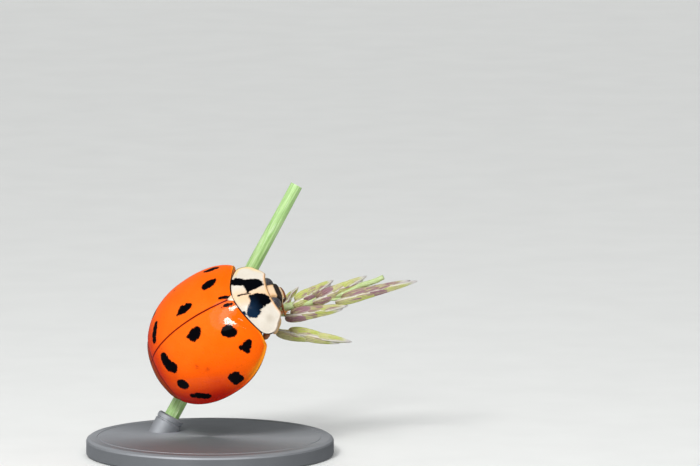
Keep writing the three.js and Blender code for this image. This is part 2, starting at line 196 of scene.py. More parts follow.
# %% Sums on sockets
class Value:
    """An output socket that takes part in Python sums."""

    def __init__(self, finish, socket):
        self.finish, self.socket = finish, socket

    def math(self, operation, *terms):
        return self.finish.node("Math", {"operation": operation}, dict(enumerate(terms)))

    def __add__(self, other):
        return self.math("ADD", self, other)

    def __sub__(self, other):
        return self.math("SUBTRACT", self, other)

    def __rsub__(self, other):
        return self.math("SUBTRACT", other, self)

    def __mul__(self, other):
        return self.math("MULTIPLY", self, other)

    def __abs__(self):
        return self.math("ABSOLUTE", self)

    def least(self, other):
        return self.math("MINIMUM", self, other)

    def most(self, other):
        return self.math("MAXIMUM", self, other)

    def sine(self):
        return self.math("SINE", self)

    def root(self):
        return self.math("SQRT", self)

    def fade(self, low, high):
        """0 below low and 1 above high, with a soft step between. low may be the larger."""
        settings = {"interpolation_type": "SMOOTHSTEP"}
        return self.finish.node("MapRange", settings, {
            "Value": self, "From Min": low, "From Max": high, "To Min": 0, "To Max": 1})

    __radd__, __rmul__ = __add__, __mul__


def colour(code):
    """A linear colour from a hex code as a painter would pick it on screen. Values pass."""
    if isinstance(code, Value):
        return code
    parts = [int(code[i:i + 2], 16) / 255 for i in (0, 2, 4)]
    return [*[c / 12.92 if c <= 0.04045 else ((c + 0.055) / 1.055) ** 2.4 for c in parts], 1]


class Finish:
    """A procedural material. It reads places in millimetres, in the frame it is given."""

    def __init__(self, name, frame=None, **fixed):
        self.material = bpy.data.materials.new(name)
        self.material.use_nodes = True
        self.tree = self.material.node_tree
        self.shader = self.tree.nodes["Principled BSDF"]
        for socket, value in fixed.items():
            self.shader.inputs[socket.replace("_", " ")].default_value = value
        still = (frame or Matrix.Identity(4)).inverted()
        self.here = self.node("Mapping", None, {
            "Vector": self.node("TexCoord", output=3), "Scale": [1 / MM] * 3,
            "Rotation": still.to_euler(), "Location": still.to_translation()})

    def feed(self, socket, value):
        if isinstance(value, Value):
            self.tree.links.new(value.socket, socket)
        else:
            socket.default_value = value

    def node(self, kind, settings=None, sockets=None, output=0):
        """A node: its type, its settings, then values or links for its sockets."""
        made = self.tree.nodes.new("ShaderNode" + kind)
        for key, value in (settings or {}).items():
            setattr(made, key, value)
        for key, value in (sockets or {}).items():
            self.feed(made.inputs[key], value)
        return Value(self, made.outputs[output])

    def along(self, *axes):
        """How far a place lies along each axis, 0 to 2."""
        return [self.node("SeparateXYZ", None, {0: self.here}, output=axis) for axis in axes]

    def stretched(self, vector, factors):
        return self.node("VectorMath", {"operation": "MULTIPLY"}, {0: vector, 1: factors})

    def grain(self, scale, detail, roughness=0.5, at=None):
        """Cloudy noise, about 0.2 to 0.8, with so many grains to a millimetre."""
        return self.node("TexNoise", None, {
            "Vector": at or self.here, "Scale": scale, "Detail": detail,
            "Roughness": roughness})

    def pits(self, scale, low, high):
        """0 at each of a scatter of points, to 1 between them."""
        return self.node("TexVoronoi", None, {"Vector": self.here, "Scale": scale}).fade(low, high)

    def gap(self, point):
        """How far a place is from a point."""
        return self.node("VectorMath", {"operation": "DISTANCE"},
                         {0: self.here, 1: point}, output=1)

    def carried(self, *names):
        """Numbers that the mesh carries for each vertex."""
        return [self.node("Attribute", {"attribute_name": name}, output=2) for name in names]

    def paint(self, ground, *washes):
        """A ground under washes, each a share and a paint. The last wash lies on top."""
        paint = colour(ground)
        for share, wash in washes:
            paint = self.node("Mix", {"data_type": "RGBA"},
                              {0: share, 6: paint, 7: colour(wash)}, output=2)
        return paint

    def set(self, socket, value):
        self.feed(self.shader.inputs[socket], value)

    def dress(self, roughness, height, depth, ground, *washes):
        """Roughness, bumps as deep as depth in millimetres for heights of 0 to 1, and paint."""
        self.set("Roughness", roughness)
        self.set("Normal", self.node("Bump", None, {
            "Height": height, "Distance": depth * MM, "Strength": 1}))
        self.set("Base Color", self.paint(ground, *washes))


print("a middle grey in linear numbers:", [round(c, 3) for c in colour("808080")])

# %% [markdown]
# A shell, a scale or a plate is a thin bent slab. One helper makes them all: it takes a flat grid,
# gives it a wall with the solidify operator while it is still a unit square, and then bends every
# vertex with a function of u (across), v (along) and w (1 on the outside, 0 on the inside).
# Meshes carry numbers for the finishes too, such as the distance from an edge.

# %% Bent slabs and finished pieces
TINY = 1e-4


def bent_slab(columns, rows, shape, bm=None, marks=None):
    """A closed slab. shape(u, v, w) gives each vertex its place, with u and v from 0 to 1.
    marks names the numbers that its vertices carry, each a function of u and v."""
    bm = bmesh.new() if bm is None else bm
    store = bm.verts.layers.float
    layers = {name: store.get(name) or store.new(name) for name in marks or ()}
    first = len(bm.verts)
    grid = bmesh.ops.create_grid(bm, x_segments=columns, y_segments=rows, size=0.5)
    faces = dict.fromkeys(face for vertex in grid["verts"] for face in vertex.link_faces)
    bmesh.ops.solidify(bm, geom=list(faces), thickness=1)
    bm.verts.ensure_lookup_table()
    for vertex in bm.verts[first:]:
        u, v, w = vertex.co + Vector((0.5, 0.5, 1))
        for name, layer in layers.items():
            vertex[layer] = marks[name](u, v)
        vertex.co = shape(u, v, w)
    return bm


def note(bm, name, measure):
    """Keeps measure(place) on every vertex under a name, for a finish to read."""
    layer = bm.verts.layers.float.get(name) or bm.verts.layers.float.new(name)
    for vertex in bm.verts:
        vertex[layer] = measure(vertex.co)


def keep(bm, name, nodes, finish, place=BEETLE_TO_METRES, crease=40):
    """Turns a finished bmesh into a piece of the model."""
    bmesh.ops.remove_doubles(bm, verts=bm.verts, dist=TINY)
    bmesh.ops.dissolve_degenerate(bm, edges=bm.edges, dist=TINY / 10)
    bmesh.ops.recalc_face_normals(bm, faces=bm.faces)
    bmesh.ops.transform(bm, matrix=place, verts=bm.verts)
    mesh = bpy.data.meshes.new(name)
    bm.to_mesh(mesh)
    bm.free()
    mesh.shade_smooth()
    mesh.set_sharp_from_angle(angle=math.radians(crease))
    mesh.materials.append(finish.material)
    piece = bpy.data.objects.new(name, mesh)
    bpy.context.scene.collection.objects.link(piece)
    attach(piece, "root")
    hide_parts(*nodes)
    print(name, len(mesh.polygons), "faces")
    return piece


def smooth(low, high, value):
    t = min(1, max(0, (value - low) / (high - low)))
    return t * t * (3 - 2 * t)


def mix(a, b, share):
    return a + (b - a) * share


def bump(offset):
    """A bell: 1 at no offset, and close to 0 past 2."""
    return math.exp(-offset ** 2)


def rough(place, scale, seed=0):
    """Smooth noise from -1 to 1."""
    return noise.noise(Vector(place) * scale + Vector((seed * 7.3, seed * 3.1, seed * 5.7)))

# %% [markdown]
# Wing cases, or elytra, are the two halves of one dome. The dome's plan is a squared ellipse, and
# so is its height, which makes the steep sides of a ladybird. A function gives the dome's skin
# for an angle round the beetle and a share of the way out to the rim.

# %% The dome
HALF_WIDTH, DOME_REAR, DOME_FRONT, DOME_HEIGHT = 3.0, 3.28, 3.1, 2.33
DOME_POWER = 2.15
SHOULDER_LIFT, SHOULDER_X = 0.5, 2.25
EDGE_DROP = 0.2


def outline_radius(angle, inset=0):
    reach = (DOME_FRONT if math.cos(angle) > 0 else DOME_REAR) - inset
    total = abs(math.cos(angle) / reach) ** DOME_POWER
    total += abs(math.sin(angle) / (HALF_WIDTH - inset)) ** DOME_POWER
    return total ** (-1 / DOME_POWER)


def rim_lift(x, share):
    return SHOULDER_LIFT * min(1, max(0, x / SHOULDER_X)) ** 2 * share ** 3


def dome_point(angle, share, inset=0):
    reach = outline_radius(angle, inset) * share
    x, y = reach * math.cos(angle), reach * math.sin(angle)
    arch = max(0, 1 - share ** DOME_POWER) ** 0.5
    return Vector((x, y, (DOME_HEIGHT - inset) * arch + rim_lift(x, share)))


def dome_above(x, y):
    """The dome's skin over a place in plan."""
    angle = math.atan2(y, x)
    return dome_point(angle, min(1, math.hypot(x, y) / outline_radius(angle)))


print("dome over the shoulders:", round(dome_above(2.1, 0).z, 3), "mm")

# %% [markdown]
# Each wing case ends in front at the shield, in a curve that rounds the shoulder. A ray from the
# middle of the beetle meets either that front edge or the rim, whichever comes first, so a fan of
# rays covers one wing case exactly, and its last row of vertices is the whole edge. The curve is
# a pair of Bezier arcs, read as a radius for each angle.

# %% Edges of a wing case
def bezier(controls, t):
    """A point on a Bezier arc with any number of controls."""
    points = [Vector(c) for c in controls]
    while len(points) > 1:
        points = [a.lerp(b, t) for a, b in zip(points, points[1:])]
    return points[0]


def arcs(chain, steps=24):
    """Points along several Bezier arcs in a row."""
    return [bezier(arc, i / steps) for arc in chain for i in range(steps + 1)]


def reading(pairs, key):
    """Straight-line reading of a value from sorted (key, value) pairs."""
    for (k0, v0), (k1, v1) in zip(pairs, pairs[1:]):
        if key <= k1:
            return mix(v0, v1, (key - k0) / (k1 - k0) if k1 > k0 else 0)
    return pairs[-1][1]


CASE_FRONT = arcs([
    [(2.12, 0), (2.19, 0.9), (2.37, 1.62)],
    [(2.37, 1.62), (2.44, 1.9), (2.28, 2.38), (1.6, 2.64)],
])
FRONT_RADIUS = [(math.atan2(p.y, p.x), p.length) for p in CASE_FRONT]
CORNER = FRONT_RADIUS[-1][0]
print("shoulder corner:", round(math.degrees(CORNER)), "degrees off the head's direction")


def shield_height(x, y):
    """The top of the shield behind the head, which the wing cases bend down to."""
    t = x - 2.13
    return 1.89 - 0.8 * t - 0.12 * t * t - 0.25 * y * y


UPPER_SHARE = 0.84                          # of the rows, on top; the rest turn under the edge
CROWDING = 1.5                              # rows crowd towards the edge
CASE_WALL = 0.06
TUCK = 0.58                                 # radians of the underside's curve
BEAD_OUT, GROOVE_IN = 0.03, 0.02            # the rim's bead and the groove inside it
FOLD_X, FOLD_IN, FLARE = -2.74, 0.038, 0.012   # the crease before the flared tail
LIP_DROP, LIP_TUCK = 0.2, 0.35              # the front edge's lip


def front_share(angle):
    if angle > CORNER:
        return 1
    return min(1, reading(FRONT_RADIUS, angle) / outline_radius(angle))


def front_dip(angle, side, p):
    """How far the front of a wing case bends down to meet the shield."""
    edge = dome_point(angle, front_share(angle))
    step = max(0, edge.z - shield_height(edge.x, edge.y) - 0.03)
    raised = 0.6 * smooth(1.0, 1.9, edge.y) if side > 0 else 0
    return step * (1 - raised) * smooth(0.75, 0, (p - edge).length)


def case_shape(side):
    """Places for a wing case: u runs round from the shield to the tail, v out to the edge."""
    def shape(u, v, w):
        angle = math.pi * u
        limit = math.asin(front_share(angle) ** (DOME_POWER / 2))
        out = min(1, v / UPPER_SHARE)
        under = max(0, v - UPPER_SHARE) / (1 - UPPER_SHARE)
        slant = limit * (1 - (1 - out) ** CROWDING)
        share = math.sin(slant) ** (2 / DOME_POWER)
        inset = CASE_WALL * (1 - w)
        p = dome_point(angle, share, inset)
        radial = Vector((math.cos(angle), math.sin(angle), 0))
        rise = p.z - rim_lift(p.x, share)
        at_front = smooth(0.1, 0.5, DOME_HEIGHT * math.cos(limit))
        p.z -= front_dip(angle, side, p) * at_front
        if w and not under:
            bead = BEAD_OUT * bump((rise - 0.03) / 0.05) - GROOVE_IN * bump((rise - 0.17) / 0.07)
            fold = FLARE * smooth(FOLD_X - 0.04, FOLD_X - 0.16, p.x)
            fold -= FOLD_IN * bump((p.x - FOLD_X) / 0.05)
            fold *= smooth(2.0, 1.5, abs(p.y))
            p += radial * (bead * (1 - at_front) + fold)
            p.z += 0.012 * rough(p, 0.9, side) + 0.003 * rough(p, 4, side)
        if under:
            tuck = dome_point(angle, math.cos(TUCK * under), inset)
            tuck.z = rim_lift(tuck.x, math.cos(TUCK * under))
            tuck.z += (1 - w) * CASE_WALL * min(1, 4 * under) - EDGE_DROP * math.sin(TUCK * under)
            lip = p - Z * LIP_DROP * under - radial * LIP_TUCK * under ** 2
            p = tuck.lerp(lip, at_front)
        p.y = max(p.y, 0.008) * side
        return p
    return shape


def case_edge_gap(side):
    """Distance along the skin from the edge, in millimetres."""
    def measure(p):
        angle = math.atan2(p.y * side, p.x)
        edge = dome_point(angle, front_share(angle))
        edge.z -= front_dip(angle, side, edge)
        edge.y *= side
        thinner = mix(1, 2.6, smooth(0.1, 0.6, edge.z))
        return min(2, (p - edge).length * thinner)
    return measure

# %% [markdown]
# A harlequin's spots are round dots, kidneys and drops, each a little ragged. A dot is kept as a
# centre and a radius, and a longer mark is a few dots in a row. Every vertex carries its distance
# to the nearest dot, measured through space, so spots stay round where the dome turns down.
# The finish then only has to cut that distance at zero, with some noise to roughen the line.

# %% Spots
RIGHT_DOTS = [
    (1.37, -1.38, 0.26), (1.25, -1.31, 0.21), (1.49, -1.46, 0.21), (1.43, -1.26, 0.2),
    (-0.04, -0.73, 0.27), (0.12, -0.66, 0.21), (-0.17, -0.74, 0.21), (-0.35, -0.65, 0.09),
    (-0.19, -0.91, 0.09),
    (1.45, -2.13, 0.1), (1.63, -2.16, 0.2), (1.84, -2.06, 0.14), (1.58, -2.29, 0.14),
    (1.74, -2.13, 0.17),
    (0.37, -2.85, 0.27), (0.28, -2.78, 0.16), (0.48, -2.79, 0.18), (0.5, -2.9, 0.17),
    (0.26, -2.93, 0.14),
    (-1.97, -0.57, 0.22), (-1.97, -0.75, 0.26), (-1.93, -1.02, 0.27), (-1.77, -1.25, 0.25),
    (-1.85, -1.96, 0.25), (-1.93, -1.88, 0.21), (-1.77, -2.03, 0.21),
    (-1.83, -2.4, 0.15), (-1.58, -2.54, 0.21), (-1.38, -2.67, 0.2), (-1.23, -2.73, 0.15),
    (1.56, -0.23, 0.03), (1.66, -0.22, 0.06), (1.76, -0.22, 0.08), (1.86, -0.22, 0.09),
    (1.97, -0.25, 0.07),
]
LEFT_DOTS = [
    (1.36, 1.24, 0.22), (1.2, 1.22, 0.2), (1.5, 1.28, 0.18), (1.65, 1.31, 0.1),
    (-0.06, 0.65, 0.21), (-0.25, 0.66, 0.17), (0.13, 0.68, 0.19), (0.28, 0.66, 0.11),
    (-0.42, 0.58, 0.07), (-0.12, 0.8, 0.12),
    (1.38, 2.19, 0.15), (1.56, 2.16, 0.18), (1.74, 2.12, 0.13), (1.22, 2.24, 0.09),
    (-0.4, 2.15, 0.06), (0.35, 2.84, 0.18),
    (-2.1, 0.5, 0.17), (-2.0, 0.72, 0.2), (-1.85, 0.95, 0.19), (-1.72, 1.12, 0.13),
    (-1.85, 1.95, 0.22), (-1.62, 2.5, 0.19), (-1.35, 2.66, 0.15),
    (1.62, 0.25, 0.045), (1.7, 0.225, 0.06), (1.78, 0.2, 0.065), (1.86, 0.17, 0.065),
    (1.94, 0.145, 0.065), (2.02, 0.12, 0.06),
]
JOIN = 0.04             # how softly neighbouring dots run together


def nearest_dot(dots):
    centres = [(dome_above(x, y), radius) for x, y, radius in dots]

    def measure(p):
        gaps = [(p - centre).length - radius for centre, radius in centres]
        least = min(gaps)
        pull = sum(math.exp((least - gap) / JOIN) for gap in gaps if gap < least + 6 * JOIN)
        return min(1, least - JOIN * 0.5 * math.log(pull))
    return measure


print("dots on the right:", len(RIGHT_DOTS), "and on the left:", len(LEFT_DOTS))

# %% [markdown]
# The wing case itself is waxy cuticle: a clear hard skin over orange pigment, pricked all over
# with fine pits. The orange is painted lighter on the crown, as painted light, and darker red at
# the lower edge and tail, partly the pigment's own red and partly painted shade. A yellow band
# lies inside the dark bead of the rim. The flared tail edge is browner, partly its own colour and
# partly a painted reflection, with painted shade along its crease.
# The gloss is a coat over the base.

# %% Wing case finish
def wing_case_finish(side_name):
    f = Finish("wing_case_" + side_name, TO_PART, Coat_Roughness=0.06, Specular_IOR_Level=0)
    x, y, z = f.along(0, 1, 2)
    cloud, wobble, speck = f.grain(1.1, 3), f.grain(6, 3), f.grain(22, 3, 0.65)
    edge, dot = f.carried("edge", "dot")
    seam = abs(y)

    # painted shade, partly the pigment's own red: darker red low on the flanks and at the tail
    low = (z * 0.75 + cloud * 0.5).fade(1.8, 0.4) * x.fade(1.5, -0.8) * y.fade(2.8, 0.8)
    tail = (cloud * 0.8 - x).fade(1.7, 3.5)
    smudge = f.gap(dome_above(-0.7, -1.9)).least(f.gap(dome_above(-0.35, -2.2)))
    ragged = edge + (speck - 0.5) * 0.8
    shoulder = (x + cloud * 0.6).fade(0.6, 1.7) * seam.fade(1.4, 2.1)
    # painted reflection, partly the edge's own colour: the flared tail edge turns brown
    flange_colour_and_reflection = (x + cloud * 0.2).fade(-2.6, -2.78)
    # painted shade: a dark line along the crease before the flared tail edge
    crease = abs(x + cloud * 0.2 + 2.64).fade(0.06, 0.02) * seam.fade(2.3, 1.7)
    fringe = dot + (speck - 0.5) * 0.13 + (wobble - 0.5) * 0.13
    ink = fringe.fade(0.014, -0.014)
    f.set("Coat Weight", (0.46 - ink * 0.28) * (0.65 + z.fade(0.2, 1.5) * 0.35))
    f.dress(
        0.22 - ink * 0.05 + speck * 0.1,
        f.pits(7, 0.04, 0.34) * 0.7 + f.grain(3.2, 4) * 0.3, 0.018,
        "FF6400",
        # painted shade, partly the pigment's own red, low on the flanks and at the tail
        (low.most(tail), "C41803"),
        # painted light: a lighter orange on the crown
        ((z + cloud).fade(2.1, 3.2) * 0.5, "FF7A22"),                       # crown
        (speck.fade(0.5, 0.72) * 0.16, "B52A04"),
        ((smudge + speck * 0.5).fade(0.42, 0.2) * 0.6, "B02408"),
        (ragged.fade(0.55, 0.1) * shoulder * 0.85, "F09A20"),               # yellow band
        (edge.fade(0.16, 0.08) * y.fade(0.2, 0.8) * 0.7, "F08A1C"),
        # painted reflection, partly the edge's own colour, on the flared tail edge
        (flange_colour_and_reflection * 0.75, "84400F"),
        # painted shade along the crease
        (crease * 0.7, "4A1206"),
        ((edge + (speck - 0.5) * 0.06).fade(0.085, 0.035), "2C1005"),       # dark bead
        (seam.fade(0.085, 0.03) * 0.6, "B01A04"),
        (seam.fade(0.04, 0.015), "5E0A03"),
        (fringe.fade(0.045, -0.01) * 0.5, "7A1206"),                        # stain round a spot
        (ink, "040306"))
    return f


CASE_COLUMNS, CASE_ROWS = 132, 50
for side, name, dots in ((1, "left", LEFT_DOTS), (-1, "right", RIGHT_DOTS)):
    case = bent_slab(CASE_COLUMNS, CASE_ROWS, case_shape(side))
    note(case, "dot", nearest_dot(dots))
    note(case, "edge", case_edge_gap(side))
    keep(case, "wing_case_" + name, ["elytron_" + name], wing_case_finish(name))

# %% [markdown]
# The scutellum is the small three-cornered plate between the roots of the wing cases. It is a
# crowned slab too, laid a hair above the dome so that its edge casts a fine line.

# %% Scutellum
SCUTELLUM_TIP, SCUTELLUM_BACK, SCUTELLUM_HALF = 1.9, 2.14, 0.15


def scutellum_shape(u, v, w):
    x = mix(SCUTELLUM_TIP, SCUTELLUM_BACK, v)
    y = (2 * u - 1) * SCUTELLUM_HALF * (v * (2 - v) * 0.5 + v * 0.5)
    p = dome_above(x, y)
    crown = 0.02 * (1 - (2 * u - 1) ** 2) * smooth(0, 0.5, v)
    p.z += w * (0.016 + crown) - (1 - w) * 0.12
    return p


f = Finish("scutellum", TO_PART, Coat_Weight=0.4, Coat_Roughness=0.15)
mottle = f.grain(14, 3)
tip = (f.along(0)[0] + mottle * 0.08).fade(2.02, 1.93)
f.dress(0.25 + mottle * 0.2, mottle, 0.01, "F2DCC0", (mottle, "DDB288"), (tip, "6A1F0C"))
keep(bent_slab(16, 10, scutellum_shape), "scutellum_plate", ["scutellum"], f)

# %% [markdown]
# The pronotum is the shield over the front of the thorax: ivory, with two black arms that make an
# M. Its plan is drawn as Bezier arcs for one half, and for each distance from the midline the
# slab runs from the back edge to the front edge. The sine crowds the columns at the side lobes,
# where the two edges meet.

# %% Shield
SHIELD_HALF = arcs([
    [(2.13, 0), (2.2, 0.9), (2.38, 1.62)],
    [(2.38, 1.62), (2.44, 1.95), (2.86, 1.92), (3.1, 1.5)],
    [(3.1, 1.5), (3.42, 1.16), (3.4, 1.02)],
    [(3.4, 1.02), (3.35, 0.5), (3.35, 0)],
])
WIDEST = max(range(len(SHIELD_HALF)), key=lambda i: SHIELD_HALF[i].y)
SHIELD_BACK = [(p.y, p.x) for p in SHIELD_HALF[:WIDEST + 1]]
SHIELD_FRONT = [(p.y, p.x) for p in reversed(SHIELD_HALF[WIDEST:])]
SHIELD_WIDTH = SHIELD_HALF[WIDEST].y
print("shield:", round(2 * SHIELD_WIDTH, 2), "mm wide")


def line_gap(x, y, outline):
    """Distance from a place in plan to an open line of points."""
    here, least = Vector((x, y)), 9
    for a, b in zip(outline, outline[1:]):
        run = b - a
        share = min(1, max(0, (here - a).dot(run) / run.length_squared)) if run.length else 0
        least = min(least, (a + run * share - here).length)
    return least


def shield_edge_gap(p):
    return line_gap(p.x, abs(p.y), SHIELD_HALF)


def shield_shape(u, v, w):
    y = SHIELD_WIDTH * math.sin((u - 0.5) * math.pi)
    back, front = reading(SHIELD_BACK, abs(y)), reading(SHIELD_FRONT, abs(y))
    x = mix(back, front, v)
    gap = line_gap(x, abs(y), SHIELD_HALF)
    top = shield_height(x, y) + 0.012 * bump(gap / 0.035) - 0.02 * bump((gap - 0.09) / 0.05)
    top += 0.008 * rough((x, y, 0), 2.2)
    wall = 0.07 + 0.36 * smooth(0.02, 0.45, gap)
    return Vector((x, y, top - (1 - w) * wall))


LEFT_ARM = [(2.25, 1.06), (2.42, 1.12), (2.6, 1.0), (2.75, 0.9), (3.1, 0.8), (3.27, 0.62),
            (3.3, 0.42), (3.17, 0.29), (2.85, 0.17), (2.69, 0.08), (2.67, 0.33), (2.62, 0.54),
            (2.42, 0.62), (2.27, 0.7), (2.05, 0.75), (2.05, 1.05)]
RIGHT_ARM = [(2.69, -0.04), (2.96, -0.02), (3.23, -0.1), (3.34, -0.3), (3.28, -0.56),
             (3.1, -0.64), (2.96, -0.76), (2.82, -0.84), (2.76, -1.0), (2.54, -1.12),
             (2.35, -1.06), (2.31, -0.92), (2.46, -0.67), (2.63, -0.46), (2.69, -0.25)]
BACK_FLECK = [(2.12, -0.72), (2.3, -0.76), (2.34, -0.9), (2.12, -0.94)]
DASH = [(2.31, 0.08), (2.5, 0.1), (2.79, 0.06), (2.79, 0.0), (2.5, 0.02), (2.33, -0.02)]


def inside_gap(outlines):
    """Distance to the nearest of some closed outlines in plan, negative inside one."""
    loops = [[Vector(p) for p in outline + outline[:1]] for outline in outlines]

    def measure(p):
        gaps = []
        for loop in loops:
            inside = False
            for a, b in zip(loop, loop[1:]):
                if (a.y > p.y) != (b.y > p.y):
                    inside ^= p.x < a.x + (b.x - a.x) * (p.y - a.y) / (b.y - a.y)
            gaps.append(line_gap(p.x, p.y, loop) * (-1 if inside else 1))
        return min(gaps)
    return measure

# %% [markdown]
# Shield finish: ivory cuticle, a little translucent, so the middle is warmed by the flesh below.
# The black arms carry a painted blue sheen towards the back of the right arm, a painted reflection
# under the gloss. Pits are finer here than on the wing cases.

# %% Shield finish
f = Finish("shield", TO_PART, Coat_Roughness=0.1, Specular_IOR_Level=0)
x, y = f.along(0, 1)
cloud, wobble, speck = f.grain(2.2, 3), f.grain(7, 3), f.grain(26, 3, 0.6)
edge, arm, dash = f.carried("edge", "arm", "dash")
warm = (abs(y + 0.1) + cloud * 0.4).fade(0.85, 0.25)
smudge = f.gap((2.95, -1.25, shield_height(2.95, -1.25)))
collar = (edge + speck * 0.05).fade(0.12, 0.04) * abs(y).fade(1.3, 0.8) * x.fade(2.9, 3.1)
back_line = edge.fade(0.035, 0.012) * (x - abs(y) * 0.2).fade(2.5, 2.3)
fringe = arm + (speck - 0.5) * 0.1 + (wobble - 0.5) * 0.14
ink = fringe.fade(0.014, -0.014)
# painted reflection: a blue sheen on the black arms towards the back of the right side
painted_blue_sheen = (x + cloud * 0.3).fade(3.2, 2.7) * y.fade(0.2, -0.6)
f.set("Coat Weight", 0.42 - ink * 0.28)
f.dress(
    0.3 + speck * 0.15 - ink * 0.08, f.pits(14, 0.06, 0.26) * 0.7 + cloud * 0.3, 0.009,
    "E6DFD3",
    (cloud, "D0C7B8"),
    (warm * 0.75, "F2C79A"),
    (speck.fade(0.55, 0.75) * 0.25, "B99F78"),
    ((smudge + speck * 0.3).fade(0.42, 0.2) * 0.2, "8C7B5C"),
    (collar * 0.8, "E8B27A"),
    (edge.fade(0.2, 0.04) * y.fade(1.0, 1.6) * 0.6, "EBC868"),              # yellow left rim
    ((edge + speck * 0.02).fade(0.04, 0.015) * 0.6, "8A6A48"),
    (back_line, "2A1408"),
    ((dash + (speck - 0.5) * 0.09).fade(0.02, -0.02), "1E0F0A"),
    (fringe.fade(0.05, 0.0) * 0.35, "6B4A2E"),
    # the black arms, with a painted blue sheen as painted reflection
    (ink, f.paint("020308", (painted_blue_sheen, "10253C"))))

shield = bent_slab(120, 60, shield_shape)
note(shield, "edge", shield_edge_gap)
note(shield, "arm", inside_gap([LEFT_ARM, RIGHT_ARM, BACK_FLECK]))
note(shield, "dash", inside_gap([DASH]))
keep(shield, "shield", ["pronotum"], f)

# %% [markdown]
# Soft round parts, such as a head, an eye or a thigh, start from the sphere operator. A function
# then moves each of its points, so poles stay closed. A limb's link is the same sphere drawn out
# along a line, with its radius read for each share of the length.

# %% Round forms and limb links
def round_form(bm, columns, rows, shape):
    made = bmesh.ops.create_uvsphere(bm, u_segments=columns, v_segments=rows, radius=1)
    for vertex in made["verts"]:
        vertex.co = shape(vertex.co.copy())


def swelling(first, last, belly=0, blunt=6):
    """Radius along a link: tapered, with a belly, and rounded at the ends."""
    def radius(t):
        cap = max(0, 1 - abs(2 * t - 1) ** blunt) ** 0.5
        return (mix(first, last, t) + belly * math.sin(math.pi * t)) * cap
    return radius


def link(bm, start, end, radius, flat=1, side=Z, columns=14, rows=12):
    """A closed limb link. It is flattened to a share of its radius across side."""
    axis = end - start
    across = axis.cross(side).normalized()
    thin = across.cross(axis).normalized()

    def shape(p):
        t = (p.z + 1) / 2
        ring = math.hypot(p.x, p.y) or 1
        r = radius(t)
        return start + axis * t + (across * p.x + thin * p.y * flat) / ring * r
    round_form(bm, columns, rows, shape)


HAIR_RADIUS = 0.008


def hair(bm, root, aim, length):
    """One bristle: a fine cone."""
    turned = aim.to_track_quat("Z", "Y").to_matrix().to_4x4()
    place = Matrix.Translation(root + aim * length / 2) @ turned
    bmesh.ops.create_cone(bm, cap_ends=True, segments=4, radius1=HAIR_RADIUS,
                          radius2=HAIR_RADIUS / 6, depth=length, matrix=place)

# %% [markdown]
# Under the shield sits the prothorax: a rounded block that carries the front legs. Its flanks are
# cream and its keel between the legs is dark. Its plan is the shield's, drawn in a little, so the
# same edge readings serve again, and the wall is shaped into a belly.

# %% Prothorax
FLANK_INSET = 0.34


def prothorax_shape(u, v, w):
    y = (SHIELD_WIDTH - FLANK_INSET) * math.sin((u - 0.5) * math.pi)
    wide = abs(y) * SHIELD_WIDTH / (SHIELD_WIDTH - FLANK_INSET)
    back, front = reading(SHIELD_BACK, wide) + 0.02, reading(SHIELD_FRONT, wide) - 0.36
    x = mix(back, max(back, front), v)
    bulge = ((1 - (2 * u - 1) ** 6) * (1 - (2 * v - 1) ** 6)) ** 0.5
    roof = shield_height(x, y) - 0.16
    belly = mix(roof - 0.2, -0.7 + 0.3 * (y / 1.6) ** 2, bulge ** 0.8)
    belly -= 0.05 * bump(y / 0.14) * bulge                  # the keel
    belly += 0.03 * bump((abs(y) - 0.9) / 0.04) * bulge     # the flank's suture
    return Vector((x, y, roof if w else min(belly, roof - 0.05)))


def cuticle(name, dark, light):
    """Brown to amber cuticle: clouded, finely speckled and part glossy."""
    f = Finish(name, TO_PART, Coat_Weight=0.25, Coat_Roughness=0.2)
    cloud, speck = f.grain(3, 4), f.grain(30, 3, 0.6)
    shade = f.paint(dark, (cloud.fade(0.3, 0.7), light), (speck.fade(0.55, 0.75) * 0.3, dark))
    return f, cloud, speck, shade


f, cloud, speck, shade = cuticle("flank", "241209", "3B1D10")
y = abs(f.along(1)[0])
f.dress(
    0.35 + speck * 0.2, f.pits(12, 0.05, 0.3) * 0.6 + cloud * 0.4, 0.015,
    shade,
    ((y + cloud * 0.4).fade(0.75, 1.1), "D0A670"),                          # cream sides
    (cloud.fade(0.5, 0.64) * 0.5, "9A6A3A"))
keep(bent_slab(48, 28, prothorax_shape), "prothorax_block", ["prothorax"], f)

# %% [markdown]
# The trunk under the wing cases is one shallow bowl, cut across at the waist. In front of the cut
# are the plates that carry the middle and hind legs, with a groove down the middle. Behind it
# come the belly's ring plates, each with its rear edge standing over the next. The bowl is a
# sphere bent to the dome's own plan, and the bisect operator parts it.

# %% Trunk
TRUNK_INSET, BELLY_DEPTH, WAIST_X = 0.5, 0.75, 0.45
RING_EDGES = [0.45, -0.45, -1.02, -1.5, -1.92, -2.3, -2.9]
TRUNK_GAP = 0.01
THORAX_FRONT = 2.08
CROSS_GROOVE = (1.42, 0.1)          # its x on the midline, and how it runs forward with |y|
FLANK_GROOVE = (1.225, 0.25)        # its |y| at the middle of the beetle, and how it widens with x


def ring_step(x, y):
    """How far a belly plate stands out at a place in plan."""
    bent = x + 0.07 * y * y
    for front, rear in zip(RING_EDGES, RING_EDGES[1:]):
        if rear <= bent < front:
            share = (front - bent) / (front - rear)
            return 0.05 * share ** 2 - 0.03 * smooth(0.92, 1, share)
    return 0


